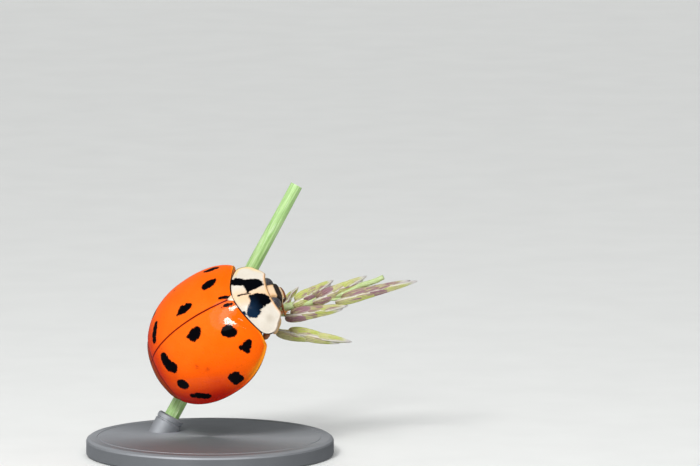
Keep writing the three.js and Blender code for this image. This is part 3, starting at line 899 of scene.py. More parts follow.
def trunk_shape(p):
    share = min(1, math.hypot(p.x, p.y))
    angle = math.atan2(p.y, p.x)
    top = dome_point(angle, share, TRUNK_INSET)
    if p.z > 0:
        return top
    x, y = top.x, top.y
    z = rim_lift(x, share) + BELLY_DEPTH * p.z
    if x < WAIST_X:
        z -= ring_step(x, y)
    else:
        z += 0.05 * bump(y / 0.05)
        z += 0.05 * bump((x - CROSS_GROOVE[0] - CROSS_GROOVE[1] * abs(y)) / 0.045)
        z += 0.05 * bump((abs(y) - FLANK_GROOVE[0] - FLANK_GROOVE[1] * x) / 0.05)
        z -= 0.06 * bump((x - 1.0) / 0.35) * bump((abs(y) - 0.5) / 0.35)    # round the hips
    return Vector((x, y, z))


def slice_off(bm, place, normal):
    """Cuts a mesh by a plane, drops the side that normal points away from, and gives the rim."""
    cut = bmesh.ops.bisect_plane(bm, geom=bm.verts[:] + bm.edges[:] + bm.faces[:],
                                 plane_co=place, plane_no=normal, clear_inner=True)
    return [e for e in cut["geom_cut"] if isinstance(e, bmesh.types.BMEdge)]


def trunk_part(cuts):
    """The trunk between cuts, each an x and the direction that is kept."""
    bm = bmesh.new()
    round_form(bm, 96, 72, trunk_shape)
    bmesh.ops.remove_doubles(bm, verts=bm.verts, dist=TINY)
    for x, kept in cuts:
        bmesh.ops.holes_fill(bm, edges=slice_off(bm, X * x, kept))
    return bm


f, cloud, speck, shade = cuticle("belly", "1A0D08", "4A2412")
x, y = f.along(0, 1)
y = abs(y)
suture = abs(y - x * FLANK_GROOVE[1] - FLANK_GROOVE[0]).least(
    abs(x - y * CROSS_GROOVE[1] - CROSS_GROOVE[0]))
f.dress(
    0.35 + speck * 0.25, f.pits(10, 0.05, 0.3) * 0.6 + cloud * 0.4, 0.02,
    shade,
    ((y + cloud * 0.5).fade(1.3, 1.95), "B0703A"),
    (cloud.fade(0.48, 0.6) * 0.7, "74401C"),
    (suture.fade(0.08, 0.02) * 0.8, "32160A"))
keep(trunk_part([(WAIST_X + TRUNK_GAP, X), (THORAX_FRONT, -X)]), "thorax_plates",
     ["thorax"], f)

f, cloud, speck, shade = cuticle("abdomen_plates", "4A1D0A", "A8521C")
x, y = f.along(0, 1)
middle = (abs(y) + cloud * 0.7 + x * 0.3).fade(1.1, 0.3)
f.dress(0.38 + speck * 0.2, f.pits(11, 0.05, 0.3) * 0.6 + cloud * 0.4, 0.015,
        shade, (middle * 0.85, "2A120A"))
keep(trunk_part([(WAIST_X - TRUNK_GAP, -X)]), "abdomen_plates", ["abdomen"], f)

# %% [markdown]
# The head hangs under the front of the shield and looks down. Its skull is a flattened ball with
# a notch at each eye, a brow ridge beside it and a groove across above the mouth. Below the
# groove the clypeus steps forward, dark, with a pale front lip over the brown labrum.

# %% Skull
HEAD_CENTRE = Vector((3.0, 0.15, -0.02))
HEAD_SIZE = Vector((0.57, 0.74, 0.6))
EYE_CENTRE = Vector((0.2, 0.53, 0.22))          # from the head's centre
EYE_SIZE = Vector((0.29, 0.26, 0.36))
SOCKET = 0.33


def skull_shape(p):
    q = Vector((p.x * HEAD_SIZE.x, p.y * HEAD_SIZE.y, p.z * HEAD_SIZE.z))
    front = max(0, p.x)
    for side in (1, -1):
        eye = Vector((EYE_CENTRE.x, EYE_CENTRE.y * side, EYE_CENTRE.z))
        reach = (q - eye).length / SOCKET
        q -= p * 0.06 * bump(reach ** 2)                    # the eye's socket
        q += p * 0.025 * bump((reach - 1.15) / 0.16)        # and its rim
        brow = bump((p.y - 0.42 * side) / 0.1) * smooth(-0.4, 0.1, p.z)
        q += p * 0.018 * front * brow
    groove = 0.1 + 0.25 * p.y * p.y
    q -= p * 0.03 * front * bump((p.z - groove) / 0.05)
    q.x += 0.05 * front * smooth(groove, groove - 0.12, p.z) * smooth(-0.75, -0.3, p.z)
    q += p * 0.008 * rough(p, 2.6)
    return HEAD_CENTRE + q


skull = bmesh.new()
round_form(skull, 72, 48, skull_shape)

f = Finish("head", TO_PART, Coat_Weight=0.35, Coat_Roughness=0.15, IOR=1.45)
y, z = f.along(1, 2)
cloud, speck = f.grain(5, 3), f.grain(34, 3, 0.6)
from_middle = abs(y - HEAD_CENTRE.y)
brow = (abs(from_middle - 0.3) + speck * 0.03).fade(0.075, 0.03) * z.fade(0.15, 0.3)
level = z + from_middle * from_middle * 0.4 + (speck - 0.5) * 0.05
f.dress(
    0.32 + speck * 0.2, f.pits(16, 0.05, 0.28) * 0.6 + speck * 0.4, 0.012,
    "F0D0A2",
    (cloud, "D9A877"),
    ((from_middle + cloud * 0.2).fade(0.42, 0.15) * 0.5, "F6D9BE"),
    (brow * 0.4, "A8703A"),
    (level.fade(0.3, 0.24) * level.fade(-0.05, 0.0), "1C0A04"),             # dark band
    (level.fade(-0.3, -0.4), "5A2C12"),
    ((from_middle - 0.5).fade(0.0, 0.12) * z.fade(0, -0.1), "6B3A18"))      # cheeks
keep(skull, "skull", ["head"], f)

# %% [markdown]
# A beetle's eye is a dome of hundreds of tiny lenses, grey under light with a dark depth. The
# lenses are real facets: the dome is built fine, and each point is lifted a little towards the
# middle of its own cell, with the finish adding the darker net between the cells.

# %% Eyes
FACET = 0.042


def eye_shape(side):
    centre = HEAD_CENTRE + Vector((EYE_CENTRE.x, EYE_CENTRE.y * side, EYE_CENTRE.z))

    def shape(p):
        q = Vector((p.x * EYE_SIZE.x, p.y * EYE_SIZE.y, p.z * EYE_SIZE.z))
        nearest = noise.voronoi(q / FACET)[0]
        return centre + q * (1 + 0.03 * (nearest[1] - nearest[0]))
    return shape


f = Finish("eyes", TO_PART, Coat_Weight=0.9, Coat_Roughness=0.12)
lens_net = f.node("TexVoronoi", {"feature": "DISTANCE_TO_EDGE"},
                  {"Vector": f.here, "Scale": 1 / FACET})
cloud = f.grain(4, 2)
f.dress(0.2 + cloud * 0.2, lens_net.fade(0, 0.3), 0.006,
        "35333B", (cloud, "625E68"), (lens_net.fade(0.16, 0.04), "141217"))
for side, name in ((1, "left"), (-1, "right")):
    eye = bmesh.new()
    round_form(eye, 72, 48, eye_shape(side))
    keep(eye, "eye_dome_" + name, ["eye_" + name], f, crease=60)

# %% [markdown]
# Mouthparts: a labrum like a short apron, two hooked mandibles behind it, and a small lower lip.
# The labrum is a bent slab; the mandibles are links that curve as they taper.

# %% Mouthparts
def apron(u, v, w):
    """The labrum: a pale bar above and a brown lobe below."""
    across = (2 * u - 1) * mix(0.3, 0.22, v ** 2)
    x = 3.57 + 0.075 * math.sin(v * 2.2) - 0.55 * across ** 2
    z = -0.16 - 0.24 * v + 0.2 * across ** 2
    return Vector((x - (1 - w) * 0.09, across + HEAD_CENTRE.y, z))


HOOK_STEPS = 5


def across_head(points, side):
    """Places drawn for the left of the head, put on one side of its middle."""
    return [Vector((x, y * side + HEAD_CENTRE.y, z)) for x, y, z in points]


def hook(bm, side, path, radius):
    """A curved tapered hook along three points."""
    points = across_head([bezier(path, i / HOOK_STEPS) for i in range(HOOK_STEPS + 1)], side)
    for i, (a, b) in enumerate(zip(points, points[1:])):
        r = mix(radius, radius * 0.25, i / HOOK_STEPS)
        link(bm, a, b + (b - a) * 0.2, swelling(r, r * 0.85, blunt=4), 0.7, X, 10, 8)


mouth = bent_slab(24, 16, apron)
for side in (1, -1):
    hook(mouth, side, [(3.25, 0.24, -0.45), (3.52, 0.26, -0.56), (3.5, 0.02, -0.68)], 0.085)
    hook(mouth, side, [(3.12, 0.16, -0.55), (3.3, 0.2, -0.74), (3.36, 0.1, -0.8)], 0.05)
link(mouth, Vector((3.02, HEAD_CENTRE.y, -0.5)), Vector((3.3, HEAD_CENTRE.y, -0.72)),
     swelling(0.16, 0.1), 0.5, X)

f, cloud, speck, shade = cuticle("mouthparts", "3A1A0A", "8A4A1E")
lip = (f.along(2)[0] + speck * 0.04).fade(-0.22, -0.17)
f.dress(0.3 + speck * 0.2, cloud, 0.008, shade, (lip, "E9CFA0"))
keep(mouth, "mouth_set", ["mouthparts"], f)

# %% [markdown]
# A ladybird's feeler has eleven small joints, the last three swollen into a club. Its palp ends
# in a joint like an axe head. Both are chains of links strung along a curve, with bristles.

# %% Feelers and palps
FEELER_PATH = [(3.2, 0.5, -0.24), (2.96, 0.88, -0.4), (2.5, 1.26, -0.16)]
FEELER_STOPS = [0, 0.13, 0.2, 0.29, 0.36, 0.43, 0.5, 0.56, 0.62, 0.74, 0.86, 1]
FEELER_RADII = [0.062, 0.045, 0.034, 0.03, 0.03, 0.031, 0.034, 0.038, 0.056, 0.07, 0.066]
PALP_LINKS = [
    # from, to, radius at each end, belly, flatness, bluntness, on the left
    ((3.26, 0.2, -0.52), (3.22, 0.24, -0.64), 0.05, 0.05, 0, 1, 4),
    ((3.22, 0.24, -0.62), (3.1, 0.36, -0.8), 0.045, 0.06, 0.01, 1, 4),
    ((3.1, 0.36, -0.78), (3.06, 0.4, -0.88), 0.055, 0.06, 0, 1, 4),
    ((3.07, 0.39, -0.86), (2.98, 0.46, -1.12), 0.05, 0.15, 0.02, 0.45, 14),
]

leg_finish, cloud, speck, shade = cuticle("leg_cuticle", "8C4614", "D6893A")
streak = leg_finish.grain(2, 3, at=leg_finish.stretched(leg_finish.here, (3, 3, 9)))
leg_finish.dress(0.35 + speck * 0.25, speck * 0.5 + streak * 0.5, 0.01,
                 shade, (streak.fade(0.55, 0.8) * 0.5, "5A2408"))


def bristles(bm, a, b, radius, count, length, chance):
    """Fine hairs over a link, leaning towards its tip."""
    axis = (b - a).normalized()
    first = axis.orthogonal().normalized()
    for _ in range(count):
        out = Matrix.Rotation(chance.uniform(0, math.tau), 3, axis) @ first
        t = chance.uniform(0.08, 0.95)
        root = a.lerp(b, t) + out * radius * 0.85
        aim = (out + axis * chance.uniform(0.5, 1.1)).normalized()
        hair(bm, root, aim, length * chance.uniform(0.7, 1.2))


def feeler(side):
    bm = bmesh.new()
    chance = random.Random(11 + side)
    points = across_head([bezier(FEELER_PATH, t) for t in FEELER_STOPS], side)
    for a, b, r in zip(points, points[1:], FEELER_RADII):
        link(bm, a, b + (b - a) * 0.12, swelling(r * 0.75, r * 1.1, blunt=3), 0.9, Z, 12, 10)
        bristles(bm, a, b, r, 5, 0.05, chance)
    return bm


def palp(side):
    bm = bmesh.new()
    chance = random.Random(31 + side)
    for start, end, first, last, belly, flat, blunt in PALP_LINKS:
        a, b = across_head([start, end], side)
        link(bm, a, b, swelling(first, last, belly, blunt), flat, X, 18, 14)
        bristles(bm, a, b, first, 6, 0.05, chance)
    return bm


for side, name in ((1, "left"), (-1, "right")):
    keep(feeler(side), "feeler_" + name, ["antenna_" + name], leg_finish)
    keep(palp(side), "mouth_palp_" + name, ["palp_" + name], leg_finish)

# %% [markdown]
# The perch has its own frame: the stem stands upright in it, before the whole model leans back.
# A rail is a straight twig, read by the distance along it, the distance out from its axis and
# the turn round it. Feet are placed on rails, so they stay on the surface they hold.

# %% Rails
STEM_RISE, STEM_DROP, STEM_OFFSET = 61.6, 1.75, 1.37    # degrees, then millimetres
STEM_UP, BRANCH_START = 7.6, 0.56                       # along the stem
BRANCH_WAY = (0.94, -0.26, 0.218)


def rail(origin, axis):
    left = Vector((-axis.y, axis.x, 0)).normalized()
    up = axis.cross(left)

    def at(along, out=0, turned=0):
        a = math.radians(turned)
        return origin + axis * along + up * out * math.cos(a) + left * out * math.sin(a)
    return at


def aim_in_beetle(direction):
    return (TO_BEETLE.to_3x3() @ Vector(direction)).normalized()


RISE = math.radians(STEM_RISE)
STEM_AIM = aim_in_beetle((math.cos(RISE), 0, math.sin(RISE)))
stem_side = Vector((-STEM_AIM.y, STEM_AIM.x, 0)).normalized() * STEM_OFFSET
at_stem = rail(stem_side - Z * STEM_DROP, STEM_AIM)
at_branch = rail(at_stem(BRANCH_START), aim_in_beetle(BRANCH_WAY))
print("stem runs", [round(c, 2) for c in STEM_AIM], "in the beetle's frame")

# %% [markdown]
# Each leg is a coxa in its socket, a small trochanter, a flattened femur, a slim tibia that widens
# to the ankle, and a foot of three joints: two lobed ones with pads, and a slender one with two
# hooked claws. The knees follow the frame, and the feet reach in until the claws touch the stem.

# %% Legs
ANKLE_OUT, TOE_OUT = 0.56, 0.40
TWIG_ANKLE_OUT, TWIG_TOE_OUT = 0.46, 0.28
LEGS = {
    # hip, knee, ankle, toe, and the middle of the twig under the toe
    "front_left": [Vector((2.62, 0.42, -0.62)), Vector((2.7, 1.45, -1.0)),
                   at_stem(3, ANKLE_OUT, -72), at_stem(2.35, TOE_OUT, -88), at_stem(2.35)],
    "middle_left": [Vector((1.3, 0.5, -0.75)), at_stem(1.65, 0.86, 27),
                    at_stem(1.2, ANKLE_OUT, 96), at_stem(0.5, TOE_OUT, 108), at_stem(0.5)],
    "hind_left": [Vector((0.55, 0.5, -0.75)), at_stem(-0.7, 0.86, 27),
                  at_stem(-1.4, ANKLE_OUT, 92), at_stem(-2.15, TOE_OUT, 100), at_stem(-2.15)],
    "front_right": [Vector((2.62, -0.42, -0.62)), Vector((1.96, -1.38, -0.26)),
                    at_branch(2.5, TWIG_ANKLE_OUT, -30), at_branch(3.15, TWIG_TOE_OUT, -50),
                    at_branch(3.15)],
    "middle_right": [Vector((1.3, -0.5, -0.75)), Vector((0.9, -1.2, -1.0)),
                     at_branch(1.0, TWIG_ANKLE_OUT, -60), at_branch(1.7, TWIG_TOE_OUT, -65),
                     at_branch(1.7)],
    "hind_right": [Vector((0.55, -0.5, -0.75)), Vector((-1.15, -1.1, -1.02)),
                   at_stem(-1.65, ANKLE_OUT, -85), at_stem(-2.4, TOE_OUT, -95), at_stem(-2.4)],
}

FOOT_LOBES = [
    # share of the foot where it starts and ends, radius at each end, flatness
    (0.0, 0.45, 0.06, 0.095, 0.6),
    (0.32, 0.72, 0.05, 0.1, 0.5),
    (0.6, 1.0, 0.032, 0.05, 1),
]


def claw(bm, root, aim, side, down):
    """One hooked claw that sets out along aim and side, and bends towards down."""
    path = [root, root + aim * 0.12 + side * 0.06, root + aim * 0.15 + side * 0.07 + down * 0.09]
    points = [bezier(path, i / 4) for i in range(5)]
    for i, (a, b) in enumerate(zip(points, points[1:])):
        r = mix(0.026, 0.008, i / 3)
        link(bm, a, b + (b - a) * 0.15, swelling(r, r * 0.8, blunt=4), 0.8, side, 8, 6)


def leg(joints, seed):
    bm = bmesh.new()
    chance = random.Random(seed)
    hip, knee, ankle, toe, hold = joints
    out = (knee - hip).normalized()
    # coxa, trochanter and femur
    link(bm, hip + Z * 0.16 - out * 0.12, hip + out * 0.12, swelling(0.2, 0.16, 0.03), 0.85)
    link(bm, hip + out * 0.06, hip + out * 0.3, swelling(0.1, 0.12, 0.01), 0.9)
    link(bm, hip + out * 0.2, knee, swelling(0.13, 0.15, 0.06), 0.75, out.cross(Z), 18, 20)
    # tibia
    shin = (ankle - knee).normalized()
    link(bm, knee - shin * 0.05, ankle, swelling(0.085, 0.105, 0.0, 10), 0.75, out, 14, 18)
    # foot and claws
    foot = toe - ankle
    step = foot.normalized()
    sole = (hold - toe - step * step.dot(hold - toe)).normalized()
    for start, end, first, last, flat in FOOT_LOBES:
        link(bm, ankle + foot * start, ankle + foot * end,
             swelling(first, last, 0, 8), flat, sole, 14, 12)
    across = step.cross(sole).normalized()
    for side in (across, -across):
        claw(bm, toe - step * 0.04, step, side, sole)
    for a, b, radius, count in ((hip + out * 0.2, knee, 0.15, 26), (knee, ankle, 0.1, 44),
                                (ankle, toe, 0.07, 40)):
        bristles(bm, a, b, radius, count, 0.1, chance)
    print("leg length", round((knee - hip).length + (ankle - knee).length + foot.length, 2))
    return bm


for seed, (name, joints) in enumerate(LEGS.items()):
    nodes = [f"leg_{name}_{part}" for part in ("femur", "tibia", "foot")]
    keep(leg(joints, seed), "leg_" + name, nodes, leg_finish)

# %% [markdown]
# The grass stem is a ribbed tube, cut square at both ends, with a pale pith inside the cut. It is
# a cone cut into short lengths; the ribs move each point in or out by the angle round the axis,
# and the end caps are inset for the pith. A mark on each vertex tells skin from pith.

# %% Stem
STEM_RADIUS = (0.33, 0.27)
STEM_FOOT = 0.25            # height of the lower cut over the disc
DISC_HEIGHT, SLEEVE_LENGTH = 0.8, 0.75
SAP_RIBS, RIB_SWELL = 11, 0.022
PITH_RADIUS, PITH_DEPTH = 0.2, 0.03


def stem_place(height):
    """A place on the stem's axis in the part's frame, by height along it from the disc's top."""
    origin = TO_PART @ at_stem(0)
    axis = TO_PART.to_3x3() @ STEM_AIM
    return origin + axis * ((DISC_HEIGHT - origin.z) / axis.z + height)


stem_foot, stem_top = stem_place(STEM_FOOT), TO_PART @ at_stem(STEM_UP)
STEM_LENGTH = (stem_top - stem_foot).length
stem_frame = Matrix.Translation(stem_foot) @ (
    (stem_top - stem_foot).to_track_quat("Z", "Y").to_matrix().to_4x4())
stem = bmesh.new()
bmesh.ops.create_cone(stem, cap_ends=True, segments=88, radius1=STEM_RADIUS[0],
                      radius2=STEM_RADIUS[1], depth=STEM_LENGTH,
                      matrix=Matrix.Translation(Z * STEM_LENGTH / 2))
sides = [e for e in stem.edges if abs(e.verts[0].co.z - e.verts[1].co.z) > 1]
bmesh.ops.subdivide_edges(stem, edges=sides, cuts=60, use_grid_fill=True)
caps = [face for face in stem.faces if len(face.verts) > 4]
for step in (0.04, 0.05, 0.08):
    bmesh.ops.inset_region(stem, faces=caps, thickness=step, use_even_offset=True)
for vertex in stem.verts:
    p = vertex.co
    ring = math.hypot(p.x, p.y)
    turned = math.atan2(p.y, p.x)
    rib = math.cos(SAP_RIBS * turned) + 0.5 * math.cos(5 * turned + 1 + 0.2 * p.z)
    swell = 1 + RIB_SWELL * rib + 0.03 * rough((p.x, p.y, p.z * 0.25), 1.4, 3)
    p.x, p.y = p.x * swell, p.y * swell
    if ring < STEM_RADIUS[1] - 0.03:
        p.z += PITH_DEPTH if p.z < STEM_LENGTH / 2 else -PITH_DEPTH
note(stem, "pith", lambda p: 1 if math.hypot(p.x, p.y) < PITH_RADIUS else 0)

f = Finish("stem", stem_frame, Coat_Weight=0.12, Coat_Roughness=0.35)
streaks = f.grain(1.6, 4, 0.6, f.stretched(f.here, (5, 5, 0.35)))
fine = f.grain(1.2, 3, 0.6, f.stretched(f.here, (22, 22, 0.8)))
cells = f.grain(1.5, 3, at=f.stretched(f.here, (16, 16, 5)))
f.dress(
    0.4 + fine * 0.3, fine * 0.7 + cells * 0.3, 0.02,
    "93BF6E",
    (streaks.fade(0.3, 0.7), "B4D890"),
    (fine.fade(0.5, 0.72) * 0.7, "DCEBC8"),
    (fine.fade(0.46, 0.3) * 0.5, "6E9C4A"),
    (cells.fade(0.62, 0.74) * 0.35, "B8C98A"),
    (f.carried("pith")[0] * 0.8, "D8DEB4"))
keep(stem, "grass_stem", ["perch_stem"], f, PART_TO_METRES @ stem_frame, crease=50)

# %% [markdown]
# The sprig is a side branch of the grass. Thin stalks leave it, each with a spikelet: a pointed
# bud of overlapping boat-shaped scales with papery edges. A stalk is a circle extruded along a
# curve, turned to face its way at each step.

# %% Sprig: branch and stalks
BRANCH_RADIUS, STALK_RADIUS, STALK_STEPS = (0.21, 0.11), (0.085, 0.06), 9
TWIG_BENDS = [(3.4, 1.36, 1.3), (5.6, 0.8, 1.87), (7.4, 0.35, 2.6)]
SPIKELETS = [
    # foot of its stalk, base, tip, width, number of scales, share of purple
    ((1.1, 1.95, 0.72), (2.5, 1.6, 0.26), (5.98, 0.95, -0.34), 0.62, 4, 0.15),
    ((2.2, 1.65, 1.0), (2.9, 1.4, 0.84), (5.84, 0.65, 1.28), 0.6, 6, 0.8),
    ((2.5, 1.6, 1.1), (2.85, 1.6, 1.25), (3.61, 1.55, 2.18), 0.36, 3, 0.5),
    ((3.1, 1.44, 1.24), (3.25, 1.35, 1.35), (5.2, 0.95, 2.41), 0.6, 6, 1),
    ((3.9, 1.24, 1.42), (4.1, 1.15, 1.45), (6.69, 0.55, 2.6), 0.56, 6, 0.8),
    ((4.9, 0.98, 1.7), (5.1, 0.85, 1.5), (8.9, 0.0, 2.47), 0.52, 7, 0.8),
]


def stalk(bm, points, radii, sides=16):
    """A closed tube through points, a ring of vertices at each."""
    ends = [points[0], *points, points[-1]]
    ring = None
    for i, (point, radius) in enumerate(zip(points, radii)):
        facing = (ends[i + 2] - ends[i]).to_track_quat("Z", "Y").to_matrix().to_4x4()
        made = bmesh.ops.create_circle(bm, segments=sides, radius=radius, cap_ends=False,
                                       matrix=Matrix.Translation(point) @ facing)
        edges = list(dict.fromkeys(e for v in made["verts"] for e in v.link_edges))
        if ring:
            bmesh.ops.bridge_loops(bm, edges=ring + edges)
        if i in (0, len(points) - 1):
            bmesh.ops.holes_fill(bm, edges=edges)
        ring = edges


branch_root = POSE @ at_branch(0)
sprig_stalks = bmesh.new()
branch, bends = [branch_root], [Vector(bend) for bend in TWIG_BENDS]
for a, b in zip([branch_root, *bends], bends):
    branch += [a.lerp(b, i / 6) for i in range(1, 7)]
for i in range(1, len(branch) - 1):
    branch[i] = branch[i] + Vector((0, 0.02, 0.03)) * math.sin(i * 1.4)
last = len(branch) - 1
stalk(sprig_stalks, branch, [mix(*BRANCH_RADIUS, i / last) for i in range(last + 1)])
for foot, base, tip, *_ in SPIKELETS:
    a, b, c = map(Vector, (foot, base, tip))
    path = arcs([[a, a.lerp(b, 0.5) + Z * 0.05, b, b.lerp(c, 0.22)]], steps=STALK_STEPS)
    radii = [mix(*STALK_RADIUS, i / STALK_STEPS) for i in range(STALK_STEPS + 1)]
    stalk(sprig_stalks, path, radii, 12)
print("branch with", len(SPIKELETS), "stalks:", len(sprig_stalks.faces), "faces")

# %% [markdown]
# A scale is a bent slab again. Across, it wraps round the spikelet like half a tube; along, it
# widens fast and then runs out to a point. The finish needs to know where on a scale a place is,
# so the mesh carries the share along, the share across, and one number for each scale.

# %% Sprig: scales
SCALE_COLUMNS, SCALE_ROWS = 14, 22
SCALE_WALL = 0.028


def scale_into(bm, base, tip, width, facing, keel, tone):
    """Adds one boat-shaped scale from base to tip, with its back towards facing."""
    axis = tip - base
    away = (facing - axis * facing.dot(axis) / axis.length_squared).normalized()
    across = axis.cross(away).normalized()

    def shape(u, v, w):
        edge = 2 * u - 1
        half = width / 2 * math.sin(math.pi * mix(0.004, 1, v) ** 0.6) ** 0.7
        half *= 1 - 0.03 * math.sin(v * 40 + tone * 9) * abs(edge)
        wrap = edge * 1.5
        rib = 0.012 * math.cos(edge * 9) + keel * bump(edge / 0.16)
        deep = half * math.cos(wrap) * 0.85 + rib * (1 - v) + (w - 1) * SCALE_WALL
        flare = 0.05 * v ** 3 * width
        return base + axis * v + across * half * math.sin(wrap) + away * (deep + flare)

    marks = {"along": lambda u, v: v, "across": lambda u, v: abs(2 * u - 1),
             "tone": lambda u, v: tone}
    bent_slab(SCALE_COLUMNS, SCALE_ROWS, shape, bm, marks)


def spikelet_into(bm, base, tip, width, count, purple, chance):
    """Overlapping scales: the lower ones short and outside, the upper ones long."""
    a, b = Vector(base), Vector(tip)
    sideways = (b - a).cross(-Y).normalized()
    for i in range(count):
        share = i / (count - 1)
        start, end = mix(0.04, 0.5, share), mix(0.56, 1.0, share)
        swing = (-1) ** i * mix(0.24, 0.08, share) * width
        root = a.lerp(b, start) + sideways * swing * 0.6
        point = a.lerp(b, end) + sideways * swing
        facing = -Y * 0.55 + sideways * (-1) ** i
        for lift, wide, narrow, back, keel in ((0, 0.95, 0.75, facing, 0.02),
                                               (0.06, 0.8, 0.62, -facing, 0.015)):
            scale_into(bm, root + (point - root) * lift, point, width * mix(wide, narrow, share),
                       back, keel, purple * chance.random())


chance = random.Random(5)
scales = bmesh.new()
for foot, base, tip, width, count, purple in SPIKELETS:
    spikelet_into(scales, base, tip, width, count, purple, chance)

f = Finish("stalks", LEAN, Coat_Weight=0.1, Coat_Roughness=0.4)
cloud, fine = f.grain(3, 4), f.grain(1.5, 3, at=f.stretched(f.here, (2, 14, 14)))
f.dress(
    0.45 + fine * 0.25, fine, 0.015,
    "A2B670",
    (cloud, "C3D49A"),
    (fine.fade(0.5, 0.7) * 0.6, "D3E0BE"),
    (cloud.fade(0.58, 0.72) * 0.45, "7C6A6A"))
keep(sprig_stalks, "sprig_branch", ["perch_sprig"], f, LEANING_TO_METRES)

f = Finish("scales", LEAN, Coat_Weight=0.08, Coat_Roughness=0.4)
cloud, patch = f.grain(2.4, 3), f.grain(1.3, 4, 0.6)
along, across, tone = f.carried("along", "across", "tone")
veins = (across * 26).sine()
sweep = f.node("CombineXYZ", None, {0: across * 2.4, 1: along * 1.6, 2: tone * 19})
streaks, fine = f.grain(1.4, 3, 0.6, sweep), f.grain(4, 3, 0.6, sweep)
beige = (patch + fine * 0.5 - along * 0.3).fade(0.52, 0.7) * 0.6
bruise = (streaks + across * 0.25 + tone * 0.4 - abs(along - 0.5) * 0.5).fade(0.58, 0.86)
# painted shade: darker at the foot of each scale, where the scales round it cover it
painted_foot_shade = (fine * 0.5 + patch * 0.4 + tone * 0.25 - along * 0.6).fade(0.36, 0.58)
papery = (across + along * along * 0.3 + (fine - 0.5) * 0.5).fade(0.78, 1.02) * 0.75
papery = papery.most((along + (fine - 0.5) * 0.3).fade(0.7, 0.92))
f.dress(
    0.5 + cloud * 0.25, veins * 0.5 + cloud * 0.5, 0.015,
    "AEBB45",
    (streaks.fade(0.3, 0.7), "CFD086"),
    ((tone + cloud * 0.5).fade(0.7, 1.1) * 0.7, "CFC6A4"),
    (veins.fade(0.0, 1) * 0.25, "86983E"),
    (beige, "C6BE98"),
    (bruise * across.fade(0.98, 0.7) * 0.85, "8A5674"),                     # purple
    # painted shade at the foot of each scale
    (painted_foot_shade * 0.6, "6A3438"),                                                # dark foot
    (papery * 0.9, "E6E0E2"),                                               # rim and tip
    (across.fade(0.95, 1.0) * 0.4, "6A5A62"))
keep(scales, "sprig_scales", ["perch_sprig"], f, LEANING_TO_METRES)

# %% [markdown]
# The stand is turned metal. Half its outline is drawn once, as a few short straight runs with
# small chamfers and a groove, and the spin operator turns it into the disc. The sleeve that
# holds the stem is a tube made the same way round the stem's own axis, then cut level.

# %% Stand
SPIN_STEPS = 144


def turned_part(outline):
    """Spins an outline of (radius, height) pairs round the z axis."""
    bm = bmesh.new()
    points = [bm.verts.new((r, 0, z)) for r, z in outline]
    for a, b in zip(points, points[1:]):
        bm.edges.new((a, b))
    bmesh.ops.spin(bm, geom=bm.verts[:] + bm.edges[:], cent=(0, 0, 0), axis=(0, 0, 1),
                   angle=math.tau, steps=SPIN_STEPS, use_merge=True)
    bmesh.ops.remove_doubles(bm, verts=bm.verts, dist=TINY)
    return bm


DISC = [(0, 0.04), (5.1, 0.04), (5.16, 0), (5.42, 0), (5.5, 0.08), (5.5, 0.62), (5.47, 0.7),
        (5.36, 0.78), (5.28, 0.8), (5.02, 0.8), (5.0, 0.77), (4.94, 0.77), (4.92, 0.8), (0, 0.8)]


def metal(name, tone, frame=None):
    """Satin steel with the fine rings that turning leaves."""
    f = Finish(name, frame, Metallic=1, Anisotropic=0.4)
    x, y, z = f.along(0, 1, 2)
    sweep = f.node("CombineXYZ", None, {0: (x * x + y * y).root(), 2: z})
    rings, cloud = f.grain(1, 3, 0.7, f.stretched(sweep, (30, 1, 30))), f.grain(0.6, 3)
    f.dress(0.58 + rings * 0.12 + cloud * 0.08, rings, 0.006,
            tone, (rings, "BCBFC3"), (cloud.fade(0.4, 0.7) * 0.25, "96999D"))
    return f


keep(turned_part(DISC), "stand_disc", ["stand_base"],
     metal("disc_metal", "A6A9AD"), PART_TO_METRES, crease=20)

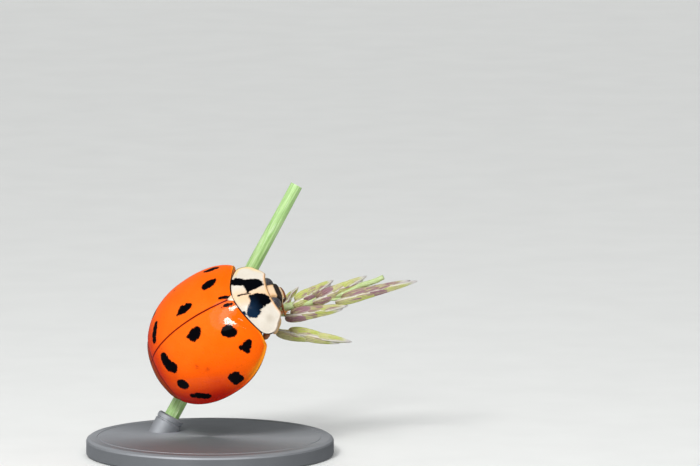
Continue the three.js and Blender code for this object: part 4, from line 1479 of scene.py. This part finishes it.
ROD_RADIUS, BORE, SUNK, GROOVE = 0.6, 0.36, -1, 0.03
sleeve = turned_part([
    (BORE, SUNK), (ROD_RADIUS, SUNK), (ROD_RADIUS, 0.42), (ROD_RADIUS - GROOVE, 0.44),
    (ROD_RADIUS - GROOVE, 0.5), (ROD_RADIUS, 0.52), (ROD_RADIUS, SLEEVE_LENGTH - 0.06),
    (ROD_RADIUS - 0.06, SLEEVE_LENGTH), (BORE + 0.03, SLEEVE_LENGTH),
    (BORE, SLEEVE_LENGTH - 0.03), (BORE, SUNK)])
sleeve_frame = Matrix.Translation(stem_place(0)) @ stem_frame.to_3x3().to_4x4()
bmesh.ops.recalc_face_normals(sleeve, faces=sleeve.faces)
bmesh.ops.transform(sleeve, matrix=sleeve_frame, verts=sleeve.verts)
bmesh.ops.bridge_loops(sleeve, edges=slice_off(sleeve, Z * DISC_HEIGHT, Z))
keep(sleeve, "stand_sleeve", ["stand_rod"],
     metal("sleeve_metal", "9EA1A5", sleeve_frame), PART_TO_METRES, crease=20)

# %% [markdown]
# The floor is a wide pale sheet. It is marked as part of the stage, so it isn't exported. Glossy
# rays pass it by, since its pale mirror image would veil the colour of the lower flanks.

# %% Floor and hand-over
FLOOR_HALF = 2000           # millimetres
floor = bmesh.new()
bmesh.ops.create_grid(floor, x_segments=1, y_segments=1, size=FLOOR_HALF * MM)
floor_mesh = bpy.data.meshes.new("floor")
floor.to_mesh(floor_mesh)
floor.free()
f = Finish("floor", Roughness=0.8)
f.set("Base Color", f.paint("E4E5E3", (f.grain(0.3, 3), "DCDDDB")))
floor_mesh.materials.append(f.material)
floor_piece = bpy.data.objects.new("floor", floor_mesh)
bpy.context.scene.collection.objects.link(floor_piece)
floor_piece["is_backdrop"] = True
floor_piece.visible_glossy = False

LOOK_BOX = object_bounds()
boxes = {name: [list(corner) for corner in box]
         for name, box in (("cad", CAD_BOX), ("visual", LOOK_BOX))}
print("boxes in millimetres:", [[round(c / MM, 2) for c in corner] for corner in
                                [*CAD_BOX, *LOOK_BOX]])
